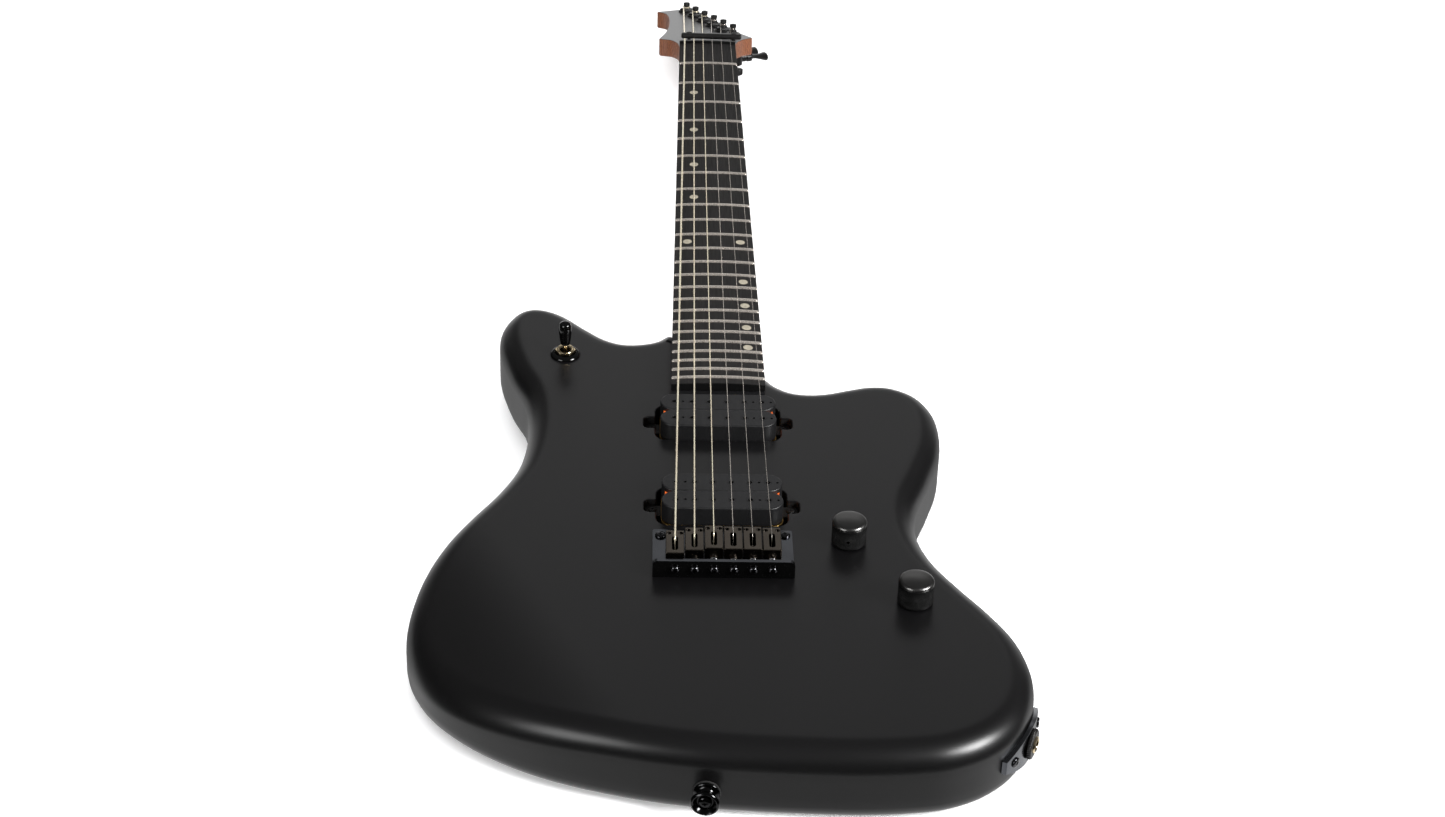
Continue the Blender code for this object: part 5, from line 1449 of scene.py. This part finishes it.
def make_switch():
    """Toggle switch: black flange, gold dress nut and threaded sleeve, and its gold lever."""
    place = shift(SWITCH_AT.x, SWITCH_AT.y)
    over = BODY_TOP + 0.1
    flange = turned("toggle_flange", [(6, over), (9.2, over), (9.4, over + 0.3), (9.3, over + 0.8),
        (8.8, over + 1.4), (8, over + 2), (7, over + 2.3), (6, over + 1.6)], 64, closed=True,
        matrix=place)
    dress(flange, GLOSS_BLACK_AND_WALL_SHADE)
    nut = prism("nut", 6, 6.6, over + 1.8, over + 3.6)
    cut(nut, drill(0, 0, over, over + 5, 5.15, 48))
    ease(nut, 0.3)
    nut.data.transform(place)
    sleeve = turned("sleeve", [(3.5, 15), (5.1, 15), (5.1, over + 3.4), (4.8, over + 3.8),
        (4.2, over + 3.9), (3.5, over + 3.3)], 48, closed=True, matrix=place)
    case = turned("case", [(5.2, 38.2), (9, 38.2), (9, 14.2), (5.2, 14.2)], 32, closed=True,
        matrix=place)
    dress(gather("toggle_nut_and_sleeve", [nut, sleeve, case]), GOLD,
        nodes=["toggle_switch_body"])
    lever = peg("toggle_stem", 1.5, 41, 55, 32, place)
    dress(lever, GOLD, "toggle")
    bullet = [(2.9, TOGGLE_FOOT), (3.3, 55), (3.75, 59), (4.1, 62.8), (4, 65.2), (3.2, 67.4),
        (1.6, 68.5)]
    profile = [(0, TOGGLE_FOOT), (2.2, TOGGLE_FOOT)] + curved(bullet, 6) + [(0, TOGGLE_TOP)]
    dress(turned("toggle_tip", profile, 48, matrix=place), GLOSS_BLACK_AND_WALL_SHADE, "toggle",
        ["toggle_lever"], 50)


def make_jack():
    """Curved cat-eye plate on the side with two screws, black nut, and the gold socket."""
    matrix = side_matrix(JACK_AT, JACK_LEVEL)
    strip = [(p, n) for p, n in zip(BODY_LOOP, BODY_NORMALS) if (p - JACK_AT).length < 46]
    rings = []
    for point, normal in strip:
        inner = point + normal * 0.15
        outer = point + normal * 2.8
        low = JACK_LEVEL - 14
        high = JACK_LEVEL + 14
        rings.append([(inner.x, inner.y, low), (outer.x, outer.y, low), (outer.x, outer.y, high),
            (inner.x, inner.y, high)])
    plate = loft("side_jack_plate", rings)
    outline = []
    for side in (1, -1):
        for k in range(21):
            share = 1 - k / 10
            half = 4.2 + 6.2 * math.cos(share * math.pi / 2)
            outline.append((side * share * 25, side * half))
    trim = slab("trim", outline, -22, 10, matrix)
    boolean(plate, [trim], "INTERSECT")
    ease(plate, 0.5, 40)
    cut(plate, rod("hole", matrix @ Vector((0, 0, -4)), matrix @ Vector((0, 0, 6)), 5.1))
    dress(plate, BRIDGE_BLACK, nodes=["jack_plate"], smooth=25)
    screws = []
    for side in (-1, 1):
        point = matrix @ Vector((side * 18, 0, 0))
        seat = side_matrix(Vector((point.x, point.y)), JACK_LEVEL)
        screws.append(screw_head("jack_screw", 2.9, 1.3, seat @ shift(0, 0, 2.75)))
    dress(gather("jack_plate_screws", screws), BLACK_METAL)
    nut = scalloped_ring("jack_nut", 4.75, 8.4, 0.3, 40,
        [(2.9, 0.97), (3.2, 1), (4.2, 1), (4.8, 0.95), (5.15, 0.88)], matrix)
    dress(nut, SATIN_BLACK)
    profile = [(3.25, -26), (8.4, -26), (8.4, -1.5), (4.6, -1.5), (4.6, 5.3), (4.45, 5.9),
        (4.1, 6.2), (3.5, 6.2), (3.25, 5.9)]
    dress(turned("jack_barrel", profile, 48, closed=True, matrix=matrix), GOLD,
        nodes=["jack_socket"])


def make_strap_button(kind, at):
    matrix = side_matrix(at, STRAP_LEVEL)
    profile = [(0, -1), (1.7, -1), (1.7, 1.1), (6.8, 1.1)]
    profile += curved([(6.9, 1.4), (6.6, 2), (4.9, 3), (4.1, 4.4), (4, 5.6), (4.6, 7), (6.2, 8.2),
        (7.5, 9), (7.6, 9.8), (7.1, 10.5)], 5)
    profile += [(6.6, 10.8), (6.1, 10.6), (4.9, 9), (4.2, 7.9), (0, 7.9)]
    button = turned(kind + "_strap_button", profile, 56, matrix=matrix)
    dress(button, STRAP_BLACK, nodes=["strap_button_" + kind], smooth=45)
    screw = screw_head(kind + "_strap_screw", 3.6, 1.9, matrix @ shift(0, 0, 7.95) @ spin(8, "Z"),
        0.8)
    dress(screw, STRAP_BLACK)
    felt = turned(kind + "_strap_felt", [(1.8, 0.05), (7.3, 0.05), (7.5, 0.5), (7.2, 1.05),
        (1.8, 1.05)], 48, closed=True, matrix=matrix)
    dress(felt, FELT)


# --------------------------------------------------------------------- back

def make_back():
    """Cavity covers with their screws, the neck plate with its bolts, and string ferrules."""
    down = spin(180, "X")
    volume = KNOBS["volume"]
    outline = stadium(volume, CAVITY_END, 25.5, 40)
    control = ease(slab("control_cavity_cover", outline, 0, 2), 0.3)
    dress(control, COVER_BLACK, nodes=["control_cover"])
    switch = turned("switch_cavity_cover", [(0, 0), (24.1, 0), (24.5, 0.4), (24.5, 2), (0, 2)], 96,
        matrix=shift(SWITCH_AT.x, SWITCH_AT.y))
    dress(switch, COVER_BLACK, nodes=["switch_cover"])
    plate = ease(slab("neck_joint_plate", neck_plate_outline(0), 0, 2), 0.4)
    dress(plate, BLACK_METAL, nodes=["neck_plate"])
    along = (CAVITY_END - volume).normalized()
    across = Vector((-along.y, along.x))
    places = [volume - along * 23.2, CAVITY_END + along * 23.2]
    places += [volume + across * 23.2, volume - across * 23.2]
    places += [CAVITY_END + across * 23.2, CAVITY_END - across * 23.2]
    for turn in (90, 210, 330):
        angle = math.radians(turn)
        places.append(SWITCH_AT + Vector((math.cos(angle), math.sin(angle))) * 22.2)
    screws = [screw_head("cover_screw", 1.9, 0.5, shift(at.x, at.y, 0.45) @ down, 0.5)
        for at in places]
    dress(gather("cover_screws", screws), BLACK_METAL)
    bolts = [screw_head("bolt", 3.6, 0.8, shift(x, y, 0.75) @ down, 0.6) for x, y in NECK_BOLTS]
    dress(gather("neck_bolt_heads", bolts), BLACK_METAL)
    ferrules = [turned("ferrule", [(1.6, 7.8), (4.2, 7.8), (4.2, 0.3), (3.9, 0.02), (2.9, 0.02),
        (2.5, 0.4), (2.5, 5), (1.6, 5.6)], 32, closed=True,
        matrix=shift(saddle_x(index), STRING_HOLE_Y)) for index in STRINGS]
    dress(gather("string_ferrules", ferrules), BLACK_METAL)


# -------------------------------------------------------------------- stage

def area_light(name, place, aim, size_x, size_y, watts, glossy=True):
    light = bpy.data.lights.new(name, "AREA")
    light.shape = "RECTANGLE"
    light.size = size_x
    light.size_y = size_y
    light.energy = watts
    obj = bpy.data.objects.new(name, light)
    obj.location = place
    obj.rotation_euler = (Vector(aim) - Vector(place)).to_track_quat("-Z", "Y").to_euler()
    obj.visible_glossy = glossy
    bpy.context.scene.collection.objects.link(obj)


def softbox(name, azimuth, elevation, distance, size_x, size_y, watts):
    """A softbox by its direction from the body: azimuth from +Y towards +X, in degrees."""
    turn = math.radians(azimuth)
    rise = math.radians(elevation)
    way = Vector((math.sin(turn) * math.cos(rise), math.cos(turn) * math.cos(rise),
        math.sin(rise)))
    area_light(name, STAGE_MIDDLE + way * distance, STAGE_MIDDLE, size_x, size_y, watts)


def make_floor():
    """A pale floor through the tail edge of the back and the farthest tuner wheel."""
    wheel = tuner_matrix(0) @ Vector((0, 0, WHEEL_BACK)) * MM
    slope = math.atan2(wheel.z - TAIL_EDGE.z, wheel.y - TAIL_EDGE.y)
    build = bmesh.new()
    bmesh.ops.create_grid(build, x_segments=8, y_segments=8, size=18)
    floor = new_object("floor", build)
    if floor.data.polygons[0].normal.z < 0:
        floor.data.flip_normals()
    floor.location = TAIL_EDGE - Vector((0, 0, GAP * MM))
    floor.rotation_euler = (slope, 0, 0)
    paper = surface("studio_floor", (0.86, 0.86, 0.865), 0.9, tint=0.004, cloud=even(0.6),
        bump=0.02)
    shader = paper.node_tree.nodes["Principled BSDF"]
    shader.inputs["Emission Color"].default_value = (1, 1, 1, 1)
    shader.inputs["Emission Strength"].default_value = 0.3
    floor.data.materials.append(paper)
    floor.visible_glossy = False


def make_world():
    """What the finish reflects: the white floor below, a pale haze behind, and a dim room."""
    world = bpy.data.worlds.new("studio")
    bpy.context.scene.world = world
    world.use_nodes = True
    tree = world.node_tree

    def math_node(operation, first, second):
        node = tree.nodes.new("ShaderNodeMath")
        node.operation = operation
        tree.links.new(first, node.inputs[0])
        tree.links.new(second, node.inputs[1])
        return node.outputs[0]

    def span(value, low, high, to_low, to_high):
        node = tree.nodes.new("ShaderNodeMapRange")
        node.interpolation_type = "SMOOTHSTEP"
        tree.links.new(value, node.inputs["Value"])
        for name, number in (("From Min", low), ("From Max", high), ("To Min", to_low),
                ("To Max", to_high)):
            node.inputs[name].default_value = number
        return node.outputs["Result"]

    place = tree.nodes.new("ShaderNodeTexCoord")
    split = tree.nodes.new("ShaderNodeSeparateXYZ")
    link(tree, place, "Generated", split, "Vector")
    across, along, up = split.outputs
    horizon = span(along, 0, 0.6, -0.52, -0.15)
    over = math_node("SUBTRACT", up, horizon)
    floor_light = math_node("MULTIPLY", span(over, -0.05, 0.05, 0.98, 0),
        span(along, -0.9, -0.3, 0.53, 1))
    floor_light = math_node("MULTIPLY", floor_light, span(along, 0.42, 0.78, 1, 0.34))
    room = span(up, 0.1, 0.7, 0.02, 0.09)
    panel = math_node("MULTIPLY", span(along, 0.15, 0.7, 0, 1), span(up, 0.47, 0.67, 0.84, 0.03))
    panel = math_node("MULTIPLY", panel, span(across, -0.28, -0.08, 0, 1))
    panel = math_node("MULTIPLY", panel, span(across, 0.17, 0.34, 1, 0.1))
    panel = math_node("MULTIPLY", panel, span(up, 0.34, 0.52, 0.15, 1))
    haze = math_node("MULTIPLY", span(up, -0.02, 0.36, 1, 0), span(along, 0.75, 0.98, 0, 1))
    total = math_node("ADD", math_node("ADD", floor_light, room), math_node("ADD", panel, haze))
    tone = tree.nodes.new("ShaderNodeCombineColor")
    for socket in tone.inputs:
        tree.links.new(total, socket)
    link(tree, tone, "Color", tree.nodes["Background"], "Color")


def make_backdrop():
    """A pale dome that only the camera sees, so low views stay plain too."""
    build = bmesh.new()
    bmesh.ops.create_uvsphere(build, u_segments=48, v_segments=24, radius=30)
    dome = new_object("backdrop", build)
    dome.data.flip_normals()
    pale = start_material("backdrop_pale", Base_Color=(0, 0, 0, 1), Specular_IOR_Level=0,
        Emission_Color=(0.95, 0.95, 0.955, 1), Emission_Strength=1)[0]
    dome.data.materials.append(pale)
    dome.visible_glossy = False
    dome.visible_diffuse = False
    dome.visible_shadow = False
    dome.visible_transmission = False


def make_camera():
    data = bpy.data.cameras.new("camera")
    data.lens = CAMERA_LENS
    data.sensor_width = 36
    data.clip_end = 100
    camera = bpy.data.objects.new("camera", data)
    camera.location = CAMERA_PLACE
    camera.rotation_euler = [math.radians(a) for a in CAMERA_ANGLES]
    bpy.context.scene.collection.objects.link(camera)
    bpy.context.scene.camera = camera


make_camera()
make_world()
make_floor()
make_backdrop()
area_light("overhead", (0, 0.2, 3), (0, 0.2, 0), 5, 5, 210, glossy=False)
softbox("left_softbox", -136, 22, 2, 1, 0.8, 14)
softbox("right_softbox", 116, 30, 2, 0.8, 0.6, 60)
bpy.context.scene.view_settings.view_transform = "Standard"

make_body()
make_neck()
make_fretboard()
make_nut()
make_retainer()
make_tuners()
make_strings()
make_bridge_plate()
for string in STRINGS:
    make_saddle(string)
    make_intonation_screw(string)
    make_spring(string)
for pickup_name, (pickup_at, pickup_top) in PICKUPS.items():
    make_pickup(pickup_name, pickup_at, pickup_top)
for knob_name, knob_at in KNOBS.items():
    make_pot(knob_name, knob_at)
    knurled_knob(knob_name, knob_at)
make_switch()
make_jack()
for strap_name, strap_at in STRAPS.items():
    make_strap_button(strap_name, strap_at)
make_back()
